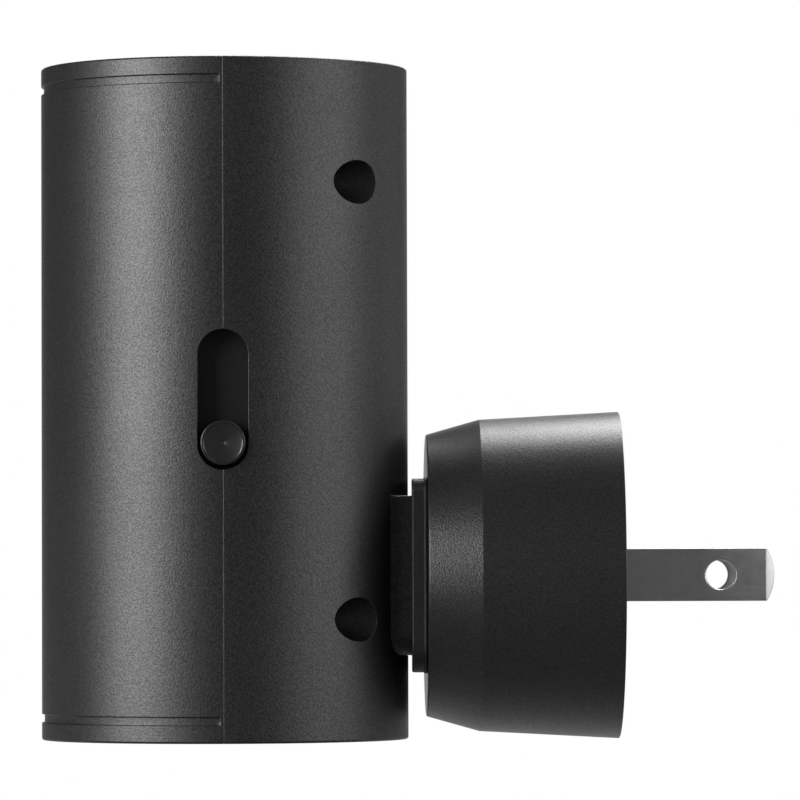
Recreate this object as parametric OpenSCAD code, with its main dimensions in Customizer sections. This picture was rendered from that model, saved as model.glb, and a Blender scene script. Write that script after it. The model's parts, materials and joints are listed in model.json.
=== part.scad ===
// Plug in night light: an upright cylinder lamp that swivels on a two blade plug.
// The origin is the centre of the plug's wall face, on the swivel axis. All sizes are in mm.
// +X goes into the wall, +Z is up, and the dimmer slot faces -Y.

/* [Lamp body] */
// Diameter of the upright cylinder
body_d = 44.5; // [43:0.5:52]
// Height of the cylinder
body_h = 81.4; // [78:0.2:110]
// How far the cylinder reaches below the swivel axis
body_drop = 19.8; // [19.6:0.2:23]
// Wall of both half shells
wall = 1.8; // [1.6:0.1:2.2]
// Rounding of the outer edges
edge_r = 0.3; // [0.1:0.05:0.6]
// Depth and half width of the V line along the seam
seam_cut = 0.12; // [0.05:0.01:0.3]

/* [End grooves] */
// From the end of the cylinder to the groove
groove_from_end = 2.15; // [1.2:0.05:3]
// Height of the groove
groove_h = 1; // [0.4:0.1:1.5]
// Depth of the groove
groove_depth = 0.33; // [0.1:0.01:0.6]
// Where the groove stops short of the seam
groove_stop = 0.37; // [0.1:0.01:2]

/* [Light ends] */
// Height of the rim over each diffuser
lip_h = 1; // [0.6:0.1:2]
// Width of the rim, measured from the inner wall
lip_w = 1.45; // [0.8:0.05:2]
// Thickness of the opal diffuser
diffuser_t = 1.6; // [1:0.1:2.5]
// Height of each rib that holds a diffuser or a reflector
rib_h = 1.2; // [0.8:0.1:1.5]
// Thickness of the reflector's flange
flange_t = 1; // [0.8:0.1:1.5]
// Height of the reflector
reflector_h = 5.1; // [4:0.1:5.5]
// Wall and floor of the reflector
reflector_wall = 0.8; // [0.6:0.1:1]
// From the inner wall to the reflector's mouth
mouth_in = 2.85; // [2.45:0.05:3.95]
// From the mouth's radius to the floor's radius
floor_in = 5; // [4.1:0.1:5.6]
// From the inner wall to the edge of the round LED board
led_board_in = 4.55; // [4.25:0.05:5.05]
// Thickness of the round LED board
led_board_t = 1.4; // [0.8:0.1:1.4]

/* [Screw wells] */
// Diameter of the four screw wells
well_d = 5.2; // [4.9:0.1:5.4]
// From the outer wall to a well's axis
well_inset = 6.97; // [6.6:0.05:7.2]
// From the end of the cylinder to a well's axis
well_from_end = 14.6; // [14.4:0.1:16]
// Wall round a well
well_wall = 1.2; // [1:0.1:1.3]
// Thickness of a well's floor, up to the seam
well_floor = 3.2; // [2.5:0.1:5]

/* [Slot and knob] */
// Width of the slot
slot_w = 6; // [5.7:0.1:6.6]
// Length of the slot, end to end
slot_l = 16.6; // [14:0.2:18]
// Diameter of the knob
knob_d = 5.3; // [4.8:0.1:5.5]
// How far the knob stands out of the shell
knob_proud = 0.65; // [0.3:0.05:1.5]
// Gap between knob and slot end at each end of the travel
knob_play = 0.18; // [0.1:0.01:0.5]
// Depth of the knob's conical dish
dish_depth = 0.5; // [0.2:0.05:0.7]
// Width of the rim round the dish
dish_rim = 0.28; // [0.15:0.01:0.6]
// From the outside of the shell to the shutter strip
strip_depth = 2.75; // [2.6:0.05:3]
// Thickness of the shutter strip
strip_t = 0.8; // [0.6:0.1:1]
// Width of the shutter strip
strip_w = 9; // [8.6:0.2:9.4]
// How far the strip laps past the slot's end
strip_lap = 1.2; // [0.6:0.1:2]

/* [Plug] */
// Depth of the plug from the wall face to its lamp side
plug_depth = 23.44; // [23:0.1:30]
// Diameter of the plug at the wall
plug_wall_d = 39.7; // [39:0.1:46]
// Diameter of the plug where its cone breaks
plug_break_d = 37.86; // [37:0.1:39]
// Diameter of the plug at its lamp side
plug_rear_d = 34.2; // [33:0.1:36]
// From the lamp side to the cone's break
plug_break_depth = 6.44; // [5:0.1:9]
// Wall of the plug housing
plug_wall = 2; // [1.8:0.1:2.2]
// Thickness of the face plate
base_t = 2.4; // [2:0.1:3]
// Width of the housing's rim round the face plate
rim_w = 1.3; // [1:0.1:1.6]

/* [Blades] */
// Height of a blade
blade_h = 6.35; // [6.2:0.05:6.6]
// Thickness of a blade
blade_t = 1.52; // [1.3:0.02:1.65]
// Distance between the blades' centres
blade_spacing = 12.7; // [12.4:0.1:13]
// Length of a blade outside the face plate
blade_len = 18.5; // [16:0.1:20]
// Diameter of the hole in a blade
blade_hole_d = 3.96; // [3:0.02:4.2]
// From the face plate to the hole's centre
blade_hole_x = 12; // [10:0.1:12.5]
// Length of the bevel at a blade's tip
tip_bevel = 1.05; // [0.5:0.05:1.5]
// Thickness left at a blade's tip
tip_t = 0.6; // [0.4:0.05:1]
// Radius of the crowned tip
tip_r = 6; // [4:0.1:12]

/* [Swivel] */
// Side of the square saddle pad along Y
pad_w = 19.4; // [18.6:0.1:20]
// Side of the square saddle pad along Z
pad_h = 19.2; // [18.4:0.1:19.2]
// Radius of the pad's lower corners
pad_corner_r = 2.75; // [2:0.05:3.5]
// How far the pad stands out of the cylinder's back
pad_proud = 0.22; // [0.2:0.02:2]
// Side of the square swivel plate
plate_side = 23.3; // [20:0.1:26]
// Radius of the swivel plate's lower corners
plate_low_r = 3.5; // [2:0.1:5]
// Radius of the swivel plate's upper corners
plate_top_r = 1.6; // [0.8:0.1:3]
// Thickness of the swivel plate with its gap to the plug
plate_t = 1.93; // [1.2:0.01:3]
// Diameter of the hollow spindle
spindle_d = 9; // [8.6:0.1:9.4]
// Diameter of the cable way through the spindle
cable_way_d = 5.2; // [4.9:0.1:5.4]
// Turn to each side, from upright to lying
swivel_turn = 90; // [60:5:90]

/* [Hidden] */
$fn = 96;

// Clearances and the one overrun that all cuts share
fit_gap = 0.1;
run_gap = 0.05;
soft_gap = 0.3;
cut_over = 1;
arc_steps = 6;

// Lamp body places
body_r = body_d / 2;
inner_r = body_r - wall;
axis_x = -(plug_depth + plate_t + pad_proud + body_r);
body_bottom = -body_drop;
body_top = body_h - body_drop;
mid_z = (body_top + body_bottom) / 2;
lip_r = inner_r - lip_w;

// Light end places, measured from the end of the cylinder
diffuser_at = lip_h;
flange_at = diffuser_at + diffuser_t + rib_h;
engine_at = flange_at + reflector_h;
engine_depth = engine_at + led_board_t;
mouth_r = inner_r - mouth_in;
floor_r = mouth_r - floor_in;
led_board_r = inner_r - led_board_in;
led_count = 6;
led_l = 3.5;
led_w = 2.8;
led_t = 0.7;
led_window_gap = 0.4;
led_window_w = led_w + 2 * led_window_gap;
led_window_l = led_l + 2 * led_window_gap;
led_ring_least = led_window_l / 2 / tan(180 / led_count) + led_window_w / 2;
led_ring_share = 0.29;
led_ring_r = led_ring_least + led_ring_share * (floor_r - led_ring_least);
led_screw_in = 2.3;
led_screw_r = led_board_r - led_screw_in;
led_boss_r = 2;
led_boss_h = 3;
led_screw_d = 1.6;
led_head_d = 3;
led_head_h = 1;

// Screw wells and the screws in them
well_r = well_d / 2;
well_y = body_r - well_inset;
post_r = well_r + well_wall;
well_zs = [body_bottom + well_from_end, body_top - well_from_end];
shell_screw_d = 2.4;
shell_head_d = 4.6;
shell_head_h = 1.7;
shell_screw_grip = 7.5;
tab_l = 9;
tab_t = 0.8;
tab_reach = 1.6;
tab_from_mid = 25;

// Slot, knob, shutter strip and dimmer
slot_r = slot_w / 2;
knob_r = knob_d / 2;
travel = slot_l - slot_w - 2 * knob_play;
knob_z = mid_z - travel / 2;
strip_y = -(body_r - strip_depth);
strip_half_l = travel / 2 + slot_l / 2 + strip_lap;
guide_t = 1;
guide_lap = 1;
guide_gap = 0.15;
guide_l = 34;
dimmer_w = 7.1;
dimmer_deep = 7;
dimmer_l = 24.7;
dimmer_from_strip = 4;
dimmer_y = strip_y + dimmer_from_strip;
lever_t = 1.2;
lever_l = 3.6;
lever_in_knob = 1.8;
foot_w = 3.4;
foot_l = 5;
foot_t = 1.4;
foot_in = 2.2;

// Main board and what it carries
board_t = 1.6;
board_x = axis_x - dimmer_w / 2;
board_gap = 1.5;
board_side_gap = 0.7;
board_half_w = well_y - post_r - board_side_gap;
board_z0 = body_bottom + engine_depth + board_gap;
board_z1 = body_top - engine_depth - board_gap;
board_screw_share = 0.59;
board_screw_far = 13.7;
board_screw_near = 3.7;
board_screw_d = 1.8;
board_head_d = 3.6;
board_head_h = 1.3;
board_boss_r = 2.3;
board_screw_l = 6.5;
supply_socket_w = 7;
board_screw_y = supply_socket_w / 2 + board_screw_share * (board_half_w - supply_socket_w / 2);
supply_socket_h = 8;
supply_socket_t = 6;
led_socket_side_gap = 1.48;
led_socket_h = 5;
led_socket_t = 5;
led_socket_in = 0.4;
led_socket_y1 = board_half_w - led_socket_in;
led_socket_w = led_socket_y1 - led_socket_side_gap - supply_socket_w / 2;
led_socket_y = led_socket_y1 - led_socket_w / 2;
lead_r = 0.65;
lead_pitch = 2.5;
lead_up = 2.4;
chip_size = [1.6, 4, 5];
chip_gap_share = 0.29;
cap_r = 3.15;
cap_h = 7;
cap_y = board_half_w - cap_r - led_socket_in;
chip_room = cap_y - cap_r - dimmer_y - dimmer_deep - chip_size[1];
chip_y = dimmer_y + dimmer_deep + chip_gap_share * chip_room;
resistor_size = [0.6, 1.25, 2];
resistor_pitch = 2.6;
resistor_count = 5;

// Saddle block
pad_x = -(plug_depth + plate_t);
saddle_boss_h = 4;
saddle_boss_r = 2.4;
saddle_face_x = axis_x + inner_r - saddle_boss_h;
ear_t = 2;
ear_h = 7.4;
ear_share = 0.7;
ear_w = 2 * ear_share * (well_y - post_r);
ear_screw_share = 0.62;
ear_screw_y = ear_screw_share * ear_w / 2;
ear_screw_up = 3.9;
hook_h = 1.5;
hook_w = 12;
hook_t = 1.8;
saddle_screw_d = 2;
saddle_head_d = 3.8;
saddle_head_h = 1.4;
saddle_pilot_l = 4.5;

// Spindle, its key in the saddle, and what keeps it in the plug
key_w = 12;
key_l = 4;
key_screw_r = 3.9;
key_pilot_l = 4.6;
cable_hole_r = 3;
spindle_r = spindle_d / 2;
way_r = cable_way_d / 2;
rear_t = 2;
bearing_l = 3.9;
bearing_wall = 3;
bearing_x = -plug_depth + bearing_l;
washer_space = 1.2;
washer_t = 0.5;
washer_w = 2.6;
collar_t = 2;
collar_w = 3.5;
collar_x = bearing_x + washer_space;
collar_tab_w = 3;
collar_tab_angle = 30;
stop_play_angle = 1;
flat_cut = 0.7;
ring_t = 0.7;
ring_w = 2.3;
ring_groove = 0.6;
ring_mouth = 5;
ring_x = collar_x + collar_t;
spindle_tail = 0.8;
spindle_end_x = ring_x + ring_t + spindle_tail;
rib_gap = 0.4;
rib_w = 3.6;

// Plug places, from the face plate inwards
plug_wall_r = plug_wall_d / 2;
plug_break_r = plug_break_d / 2;
plug_rear_r = plug_rear_d / 2;
base_r = plug_wall_r - rim_w - fit_gap;
power_board_t = 1.6;
jack_gap = 1.84;
retainer_share = 4 / 9;
stack_room = -(spindle_end_x + base_t + power_board_t + jack_gap);
retainer_t = retainer_share * stack_room;
jack_h = stack_room - retainer_t;
retainer_x = -(base_t + retainer_t);
power_x = retainer_x - power_board_t;
jack_x = power_x - jack_h;
collar_room = power_x - ring_x;

// Face plate posts and screws
post_count = 3;
plug_post_r = 2.6;
plug_post_in = 5.65;
plug_post_at = plug_wall_r - plug_post_in;
face_screw_d = 2.2;
face_head_d = 4;
face_head_h = 1.1;
face_recess = 1.3;
face_screw_grip = 6;

// Blades inside the plug
shoulder_up = 1.4;
shoulder_l = 2;
tail_h = 4;
tail_proud = 1.2;
retainer_w = 18;
retainer_h = 14;

// Power board and what it carries
power_board_gap = 1.7;
power_board_r = plug_wall_r - plug_wall - power_board_gap;
power_screw_y = 12.6;
power_screw_z = 2.2;
power_boss_r = 2.2;
power_screw_d = 1.8;
power_head_d = 3.4;
power_head_h = 1.2;
power_pilot_in = 1;
power_pilot_l = retainer_t + power_pilot_in;
jack_w = 8;
jack_floor = 0.6;
tip_d = 3.5;
tip_gap = 0.4;
tip_in = jack_h - jack_floor - tip_gap;
supply_body_l = 4;
cable_r = 1.8;
core_w = 10;
core_h = 5;
core_gap = 1.74;
core_t = collar_room - core_gap;
core_down = 9.4;
core_leg = 2.2;
core_limb = 1;
winding_gap = 0.15;
winding_out = 1.6;
power_cap_r = 3.15;
power_cap_gap = 0.94;
power_cap_h = collar_room - power_cap_gap;
power_cap_y = 7.4;
power_cap_z = 8.8;
rectifier_size = [2.5, 3, 4];
rectifier_y = 9.3;
rectifier_z = -2.4;
fuse_r = 1.2;
fuse_l = 6;
fuse_z = 8.6;

// A cross slot in a screw head
cross_w_share = 0.16;
cross_l_share = 0.62;
cross_depth_share = 0.55;

// Colours
shell_black = "#2b2c2d";
plug_black = "#303132";
knob_black = "#3a3b3c";
opal = "#eeebe2";
steel = "#b9bcc0";
plating = "#a9a9a6";
board_green = "#1f5a3a";

// Points on an arc, for rounded edges of turned profiles
function arc(cx, cy, r, from, to) =
    [for (i = [0:arc_steps]) let (a = from + (to - from) * i / arc_steps)
        [cx + r * cos(a), cy + r * sin(a)]];

// Turns a child that stands on z = 0 so that it grows towards +X from x
module along_x(x) {
    translate([x, 0, 0]) rotate([0, 90, 0]) children();
}

// A rod along X at a place in the YZ plane
module rod_x(x0, x1, y, z, r) {
    translate([x0, y, z]) rotate([0, 90, 0]) cylinder(h = x1 - x0, r = r);
}

// A rod along Z
module rod_z(x, y, z0, z1, r) {
    translate([x, y, z0]) cylinder(h = z1 - z0, r = r);
}

// A box from its lowest corner to its highest
module box(low, high) {
    translate(low) cube(high - low);
}

// A pan head screw along X: its head's underside is at x and its shank goes towards way
module screw_x(x, y, z, way, d, grip, head_d, head_h) {
    translate([x, y, z]) rotate([0, 90 * way, 0]) {
        cylinder(h = grip, d = d);
        difference() {
            translate([0, 0, -head_h]) cylinder(h = head_h, d = head_d);
            for (turn = [0, 90]) rotate([0, 0, turn])
                translate([-head_d * cross_l_share / 2, -head_d * cross_w_share / 2, -head_h - cut_over])
                    cube([head_d * cross_l_share, head_d * cross_w_share,
                        head_h * cross_depth_share + cut_over]);
        }
    }
}

// Places a child at the top end or at the bottom end, where its z runs inwards from the end
module at_end(top) {
    if (top) translate([axis_x, 0, body_top]) mirror([0, 0, 1]) children();
    else translate([axis_x, 0, body_bottom]) children();
}

// The four wells' places
module at_wells() {
    for (y = [-well_y, well_y], z = well_zs) translate([0, y, z]) children();
}

// The main board's four screw places
board_screw_places = [
    [-board_screw_y, board_z0 + board_screw_near],
    [-board_screw_y, board_z1 - board_screw_near],
    [board_screw_y, board_z0 + board_screw_far],
    [board_screw_y, board_z1 - board_screw_far]];

// The whole cylinder with rounded edges
module body_solid() {
    translate([axis_x, 0, body_bottom]) rotate_extrude()
        polygon(concat([[0, 0]], arc(body_r - edge_r, edge_r, edge_r, -90, 0),
            arc(body_r - edge_r, body_h - edge_r, edge_r, 0, 90), [[0, body_h]]));
}

// One end of the cavity: rim opening, diffuser seat, rib, reflector seat and rib
module end_cavity() {
    translate([0, 0, -cut_over]) cylinder(h = flange_at + flange_t + rib_h + 2 * cut_over, r = lip_r);
    translate([0, 0, diffuser_at]) cylinder(h = diffuser_t, r = inner_r);
    translate([0, 0, flange_at]) cylinder(h = flange_t, r = inner_r);
}

module cavity() {
    at_end(true) end_cavity();
    at_end(false) end_cavity();
    rib_end = flange_at + flange_t + rib_h;
    translate([axis_x, 0, body_bottom + rib_end]) cylinder(h = body_h - 2 * rib_end, r = inner_r);
}

// The half of space in front of the seam, or behind it
module half_space(front) {
    x0 = front ? axis_x - body_r - cut_over : axis_x;
    box([x0, -body_r - cut_over, body_bottom - cut_over],
        [x0 + body_r + cut_over, body_r + cut_over, body_top + cut_over]);
}

// The hollow tube that both shells are cut from
module tube() {
    difference() {
        translate([axis_x, 0, body_bottom - cut_over])
            cylinder(h = body_h + 2 * cut_over, r = body_r + cut_over);
        cavity();
    }
}

// The slot for the knob, cut through the wall on the -Y side
module slot_cut() {
    half = slot_l / 2 - slot_r;
    deep = wall + cut_over;
    translate([axis_x, -inner_r + cut_over, mid_z]) rotate([90, 0, 0]) {
        for (side = [-half, half]) translate([0, side, 0]) cylinder(h = deep + cut_over, r = slot_r);
        translate([-slot_r, -half, 0]) cube([slot_w, 2 * half, deep + cut_over]);
    }
}

// V lines along both seams
module seam_lines() {
    side = seam_cut * sqrt(2);
    for (y = [-body_r, body_r])
        translate([axis_x, y, body_bottom - cut_over]) rotate([0, 0, 45])
            translate([-side / 2, -side / 2, 0]) cube([side, side, body_h + 2 * cut_over]);
}

// An L guide that holds one edge of the shutter strip. side is -1 in front and 1 behind.
module strip_guide(side) {
    near = strip_w / 2 + guide_gap;
    lip_y = strip_y + strip_t + guide_gap;
    z0 = mid_z - guide_l / 2;
    z1 = mid_z + guide_l / 2;
    xs = [axis_x + side * near, axis_x + side * (near + guide_t),
        axis_x + side * (near - guide_lap - guide_gap)];
    box([min(xs[0], xs[1]), -body_r, z0], [max(xs[0], xs[1]), lip_y + guide_t, z1]);
    box([min(xs[2], xs[1]), lip_y, z0], [max(xs[2], xs[1]), lip_y + guide_t, z1]);
}

// Rows of an upright ring between two radii, beside the seam and from x0 to x1
module seam_arcs(r0, r1, x0, x1) {
    places = [[-1, mid_z - tab_from_mid], [-1, mid_z + tab_from_mid], [1, mid_z - tab_from_mid],
        [1, mid_z], [1, mid_z + tab_from_mid]];
    intersection() {
        difference() {
            translate([axis_x, 0, body_bottom]) cylinder(h = body_h, r = r1);
            translate([axis_x, 0, body_bottom - cut_over]) cylinder(h = body_h + 2 * cut_over, r = r0);
        }
        for (p = places)
            box([axis_x + x0, min(p[0] * body_r, 0), p[1] - tab_l / 2],
                [axis_x + x1, max(p[0] * body_r, 0), p[1] + tab_l / 2]);
    }
}

// Tabs on the front shell that lap inside the back shell and keep the seam flush
module seam_tabs() {
    tab_r = inner_r - fit_gap / 2 - tab_t;
    seam_arcs(tab_r, inner_r - fit_gap / 2, -tab_reach, tab_reach);
    seam_arcs(tab_r, inner_r + wall / 2, -tab_reach, 0);
}

// The pad's outline in the YZ plane, drawn in XY as (y, z): lower corners round, upper ones sharp
module pad_outline(grow) {
    w = pad_w / 2 + grow;
    h = pad_h / 2 + grow;
    r = pad_corner_r + grow;
    translate([-w, r - h]) square([2 * w, 2 * h - r]);
    translate([r - w, -h]) square([2 * (w - r), r + cut_over]);
    for (side = [r - w, w - r]) translate([side, r - h]) circle(r = r);
}

// The swivel plate's outline, drawn in the same way: a square with round corners
module plate_outline() {
    half = plate_side / 2;
    low = half - plate_low_r;
    top = half - plate_top_r;
    translate([-half, -low]) square([2 * half, low + top]);
    translate([-low, -half]) square([2 * low, half]);
    translate([-top, 0]) square([2 * top, half]);
    for (side = [-1, 1]) {
        translate([side * low, -low]) circle(r = plate_low_r);
        translate([side * top, top]) circle(r = plate_top_r);
    }
}

// Extrudes an outline that was drawn as (y, z) from x0 to x1
module extrude_yz(x0, x1) {
    translate([x0, 0, 0]) rotate([90, 0, 90]) linear_extrude(height = x1 - x0) children();
}

module front_shell() {
    color(shell_black) difference() {
        union() {
            intersection() {
                body_solid();
                half_space(true);
                union() {
                    tube();
                    at_wells() rod_x(axis_x - body_r, axis_x, 0, 0, post_r);
                    for (p = board_screw_places)
                        rod_x(axis_x - body_r, board_x - board_t, p[0], p[1], board_boss_r);
                    strip_guide(-1);
                }
            }
            seam_tabs();
        }
        at_wells() rod_x(axis_x - shell_screw_grip - cut_over, axis_x + cut_over, 0, 0,
            shell_screw_d / 2 + run_gap);
        for (p = board_screw_places)
            rod_x(board_x - board_t - board_screw_l, board_x, p[0], p[1], board_screw_d / 2 + run_gap);
        slot_cut();
        seam_lines();
        end_grooves();
    }
}

// Shallow grooves round the front half, near both ends
module end_grooves() {
    for (top = [true, false]) intersection() {
        at_end(top) translate([0, 0, groove_from_end]) difference() {
            cylinder(h = groove_h, r = body_r + cut_over);
            translate([0, 0, -cut_over]) cylinder(h = groove_h + 2 * cut_over, r = body_r - groove_depth);
        }
        translate([-groove_stop, 0, 0]) half_space(true);
    }
}

module back_shell() {
    color(shell_black) difference() {
        intersection() {
            body_solid();
            half_space(false);
            union() {
                tube();
                at_wells() rod_x(axis_x, axis_x + body_r, 0, 0, post_r);
                strip_guide(1);
                for (y = [-ear_screw_y, ear_screw_y])
                    rod_x(saddle_face_x, axis_x + body_r, y, pad_h / 2 + ear_screw_up, saddle_boss_r);
            }
        }
        at_wells() {
            rod_x(axis_x + well_floor, axis_x + body_r + cut_over, 0, 0, well_r);
            rod_x(axis_x - cut_over, axis_x + well_floor + cut_over, 0, 0, shell_screw_d / 2 + fit_gap);
        }
        extrude_yz(saddle_face_x - cut_over, axis_x + body_r + cut_over) pad_outline(fit_gap);
        for (y = [-ear_screw_y, ear_screw_y])
            rod_x(saddle_face_x - cut_over, saddle_face_x + saddle_pilot_l, y, pad_h / 2 + ear_screw_up,
                saddle_screw_d / 2 + run_gap);
        slot_cut();
        seam_lines();
    }
}

// One opal disc, seated between the rim and the first rib
module diffuser(top) {
    color(opal) at_end(top) translate([0, 0, diffuser_at])
        cylinder(h = diffuser_t, r = inner_r - fit_gap);
}

module top_diffuser() {
    diffuser(true);
}

module bottom_diffuser() {
    diffuser(false);
}

// The LEDs' places on a light end, in a ring
module at_leds() {
    for (i = [0:led_count - 1]) rotate([0, 0, i * 360 / led_count + 180 / led_count])
        translate([led_ring_r, 0, 0]) children();
}

// The two screw places of a light end, in the plane of the swivel
module at_led_screws() {
    for (side = [-led_screw_r, led_screw_r]) translate([side, 0, 0]) children();
}

// A white dish with a window for each LED, held by its flange
module reflector(top) {
    flange_r = inner_r - fit_gap;
    outer_mouth = mouth_r + reflector_wall;
    outer_floor = floor_r + reflector_wall;
    color("#f1f1ee") at_end(top) translate([0, 0, flange_at]) difference() {
        union() {
            cylinder(h = flange_t, r = flange_r);
            cylinder(h = reflector_h, r1 = outer_mouth, r2 = outer_floor);
            at_led_screws() translate([0, 0, reflector_h - led_boss_h])
                cylinder(h = led_boss_h, r = led_boss_r);
        }
        difference() {
            translate([0, 0, -reflector_wall]) cylinder(h = reflector_h,
                r1 = mouth_r + (mouth_r - floor_r) * reflector_wall / reflector_h, r2 = floor_r);
            at_led_screws() translate([0, 0, reflector_h - led_boss_h])
                cylinder(h = led_boss_h, r = led_boss_r);
        }
        at_leds() translate([0, 0, reflector_h - reflector_wall - cut_over])
            translate([-led_window_w / 2, -led_window_l / 2, 0])
                cube([led_window_w, led_window_l, reflector_wall + 2 * cut_over]);
        at_led_screws() translate([0, 0, reflector_h - led_boss_h + reflector_wall])
            cylinder(h = led_boss_h, r = led_screw_d / 2 + run_gap);
    }
}

module top_reflector() {
    reflector(true);
}

module bottom_reflector() {
    reflector(false);
}

// A round board behind a reflector
module led_board(top) {
    color("#e9ebe6") at_end(top) translate([0, 0, engine_at]) difference() {
        cylinder(h = led_board_t, r = led_board_r);
        at_led_screws() translate([0, 0, -cut_over])
            cylinder(h = led_board_t + 2 * cut_over, r = led_screw_d / 2 + fit_gap);
    }
}

module top_led_board() {
    led_board(true);
}

module bottom_led_board() {
    led_board(false);
}

// A ring of LED packages on a board's outer face
module leds(top) {
    color("#f2d98a") at_end(top) translate([0, 0, engine_at - led_t]) at_leds()
        translate([-led_w / 2, -led_l / 2, 0]) cube([led_w, led_l, led_t]);
}

module top_leds() {
    leds(true);
}

module bottom_leds() {
    leds(false);
}

module led_board_screws() {
    color(steel) for (top = [true, false]) at_end(top) translate([0, 0, engine_depth])
        at_led_screws() rotate([0, 90, 0])
            screw_x(0, 0, 0, 1, led_screw_d, led_board_t + led_boss_h - reflector_wall - fit_gap,
                led_head_d, led_head_h);
}

module main_board() {
    color(board_green) difference() {
        box([board_x - board_t, -board_half_w, board_z0], [board_x, board_half_w, board_z1]);
        for (p = board_screw_places)
            rod_x(board_x - board_t - cut_over, board_x + cut_over, p[0], p[1],
                board_screw_d / 2 + fit_gap);
    }
}

module board_screws() {
    color(steel) for (p = board_screw_places)
        screw_x(board_x, p[0], p[1], -1, board_screw_d, board_screw_l,
            board_head_d, board_head_h);
}

// The slide dimmer's case, with a cavity for the lever's foot and a way out for the lever
module dimmer_body() {
    foot_half = travel / 2 + foot_l / 2 + knob_play;
    slot_half = travel / 2 + lever_l / 2 + knob_play;
    color("#9da1a3") difference() {
        box([board_x, dimmer_y, mid_z - dimmer_l / 2],
            [board_x + dimmer_w, dimmer_y + dimmer_deep, mid_z + dimmer_l / 2]);
        box([axis_x - foot_w / 2 - guide_gap, dimmer_y + foot_in - guide_gap, mid_z - foot_half],
            [axis_x + foot_w / 2 + guide_gap, dimmer_y + foot_in + foot_t + guide_gap,
                mid_z + foot_half]);
        box([axis_x - lever_t / 2 - guide_gap, dimmer_y - cut_over, mid_z - slot_half],
            [axis_x + lever_t / 2 + guide_gap, dimmer_y + foot_in, mid_z + slot_half]);
    }
}

module control_chip() {
    color("#1d1d1f") box([board_x, chip_y, mid_z - chip_size[2] / 2],
        [board_x + chip_size[0], chip_y + chip_size[1], mid_z + chip_size[2] / 2]);
}

module smoothing_capacitor() {
    z = mid_z + chip_size[2] / 2 + cap_r / 2;
    color("#26324a") rod_x(board_x, board_x + cap_h, cap_y, z, cap_r);
}

module chip_resistors() {
    z0 = mid_z - chip_size[2] / 2 - resistor_pitch;
    color("#3a3a3d") for (i = [0:resistor_count - 1])
        translate([board_x, chip_y + i * resistor_pitch, z0 - resistor_size[2]]) cube(resistor_size);
}

// The socket on the main board that the supply cable enters, on the swivel axis
module supply_socket() {
    color("#e8e4d8") box([board_x, -supply_socket_w / 2, -supply_socket_h / 2],
        [board_x + supply_socket_t, supply_socket_w / 2, supply_socket_h / 2]);
}

// The two sockets that the LED leads plug into, at the ends of the main board
module led_sockets() {
    color("#e8e4d8") for (z0 = [board_z0 + led_socket_in, board_z1 - led_socket_in - led_socket_h])
        box([board_x, led_socket_y1 - led_socket_w, z0],
            [board_x + led_socket_t, led_socket_y1, z0 + led_socket_h]);
}

// A pair of leads between two heights
module led_leads(z0, z1) {
    for (side = [-lead_pitch / 2, lead_pitch / 2])
        color(side < 0 ? "#a02020" : "#202022")
            rod_z(board_x + lead_up, led_socket_y + side, z0, z1, lead_r);
}

module top_led_leads() {
    led_leads(board_z1 - led_socket_in, body_top - engine_depth);
}

module bottom_led_leads() {
    led_leads(body_bottom + engine_depth, board_z0 + led_socket_in);
}

module shell_screws() {
    color(steel) at_wells() screw_x(axis_x + well_floor, 0, 0, -1, shell_screw_d,
        well_floor + shell_screw_grip, shell_head_d, shell_head_h);
}

// The pad behind the cylinder: it fills an opening in the back shell, hooks below it and is
// screwed above it
module saddle_block() {
    ear_z = pad_h / 2 + ear_h;
    color(shell_black) difference() {
        union() {
            extrude_yz(saddle_face_x, pad_x) pad_outline(0);
            box([saddle_face_x - ear_t, -ear_w / 2, -key_w / 2], [saddle_face_x, ear_w / 2, ear_z]);
            saddle_hook();
        }
        box([pad_x - key_l, -key_w / 2 - fit_gap, -key_w / 2 - fit_gap],
            [pad_x + cut_over, key_w / 2 + fit_gap, key_w / 2 + fit_gap]);
        rod_x(saddle_face_x - ear_t - cut_over, pad_x, 0, 0, cable_hole_r);
        for (y = [-key_screw_r, key_screw_r], z = [-key_screw_r, key_screw_r])
            rod_x(saddle_face_x - ear_t - cut_over, pad_x, y, z, saddle_screw_d / 2 + fit_gap);
        for (y = [-ear_screw_y, ear_screw_y])
            rod_x(saddle_face_x - ear_t - cut_over, saddle_face_x + cut_over, y,
                pad_h / 2 + ear_screw_up, saddle_screw_d / 2 + fit_gap);
    }
}

// The hook below the saddle, which lies behind the back shell's wall
module saddle_hook() {
    intersection() {
        translate([axis_x, 0, -pad_h / 2 - hook_h]) difference() {
            cylinder(h = hook_h + cut_over, r = inner_r - fit_gap);
            translate([0, 0, -cut_over]) cylinder(h = hook_h + 3 * cut_over, r = inner_r - fit_gap - hook_t);
        }
        box([axis_x, -hook_w / 2, -pad_h / 2 - hook_h],
            [pad_x, hook_w / 2, -pad_h / 2 + cut_over]);
    }
}

module saddle_screws() {
    color(steel) for (y = [-ear_screw_y, ear_screw_y])
        screw_x(saddle_face_x - ear_t, y, pad_h / 2 + ear_screw_up, 1, saddle_screw_d,
            ear_t + saddle_pilot_l - fit_gap, saddle_head_d, saddle_head_h);
}

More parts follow.
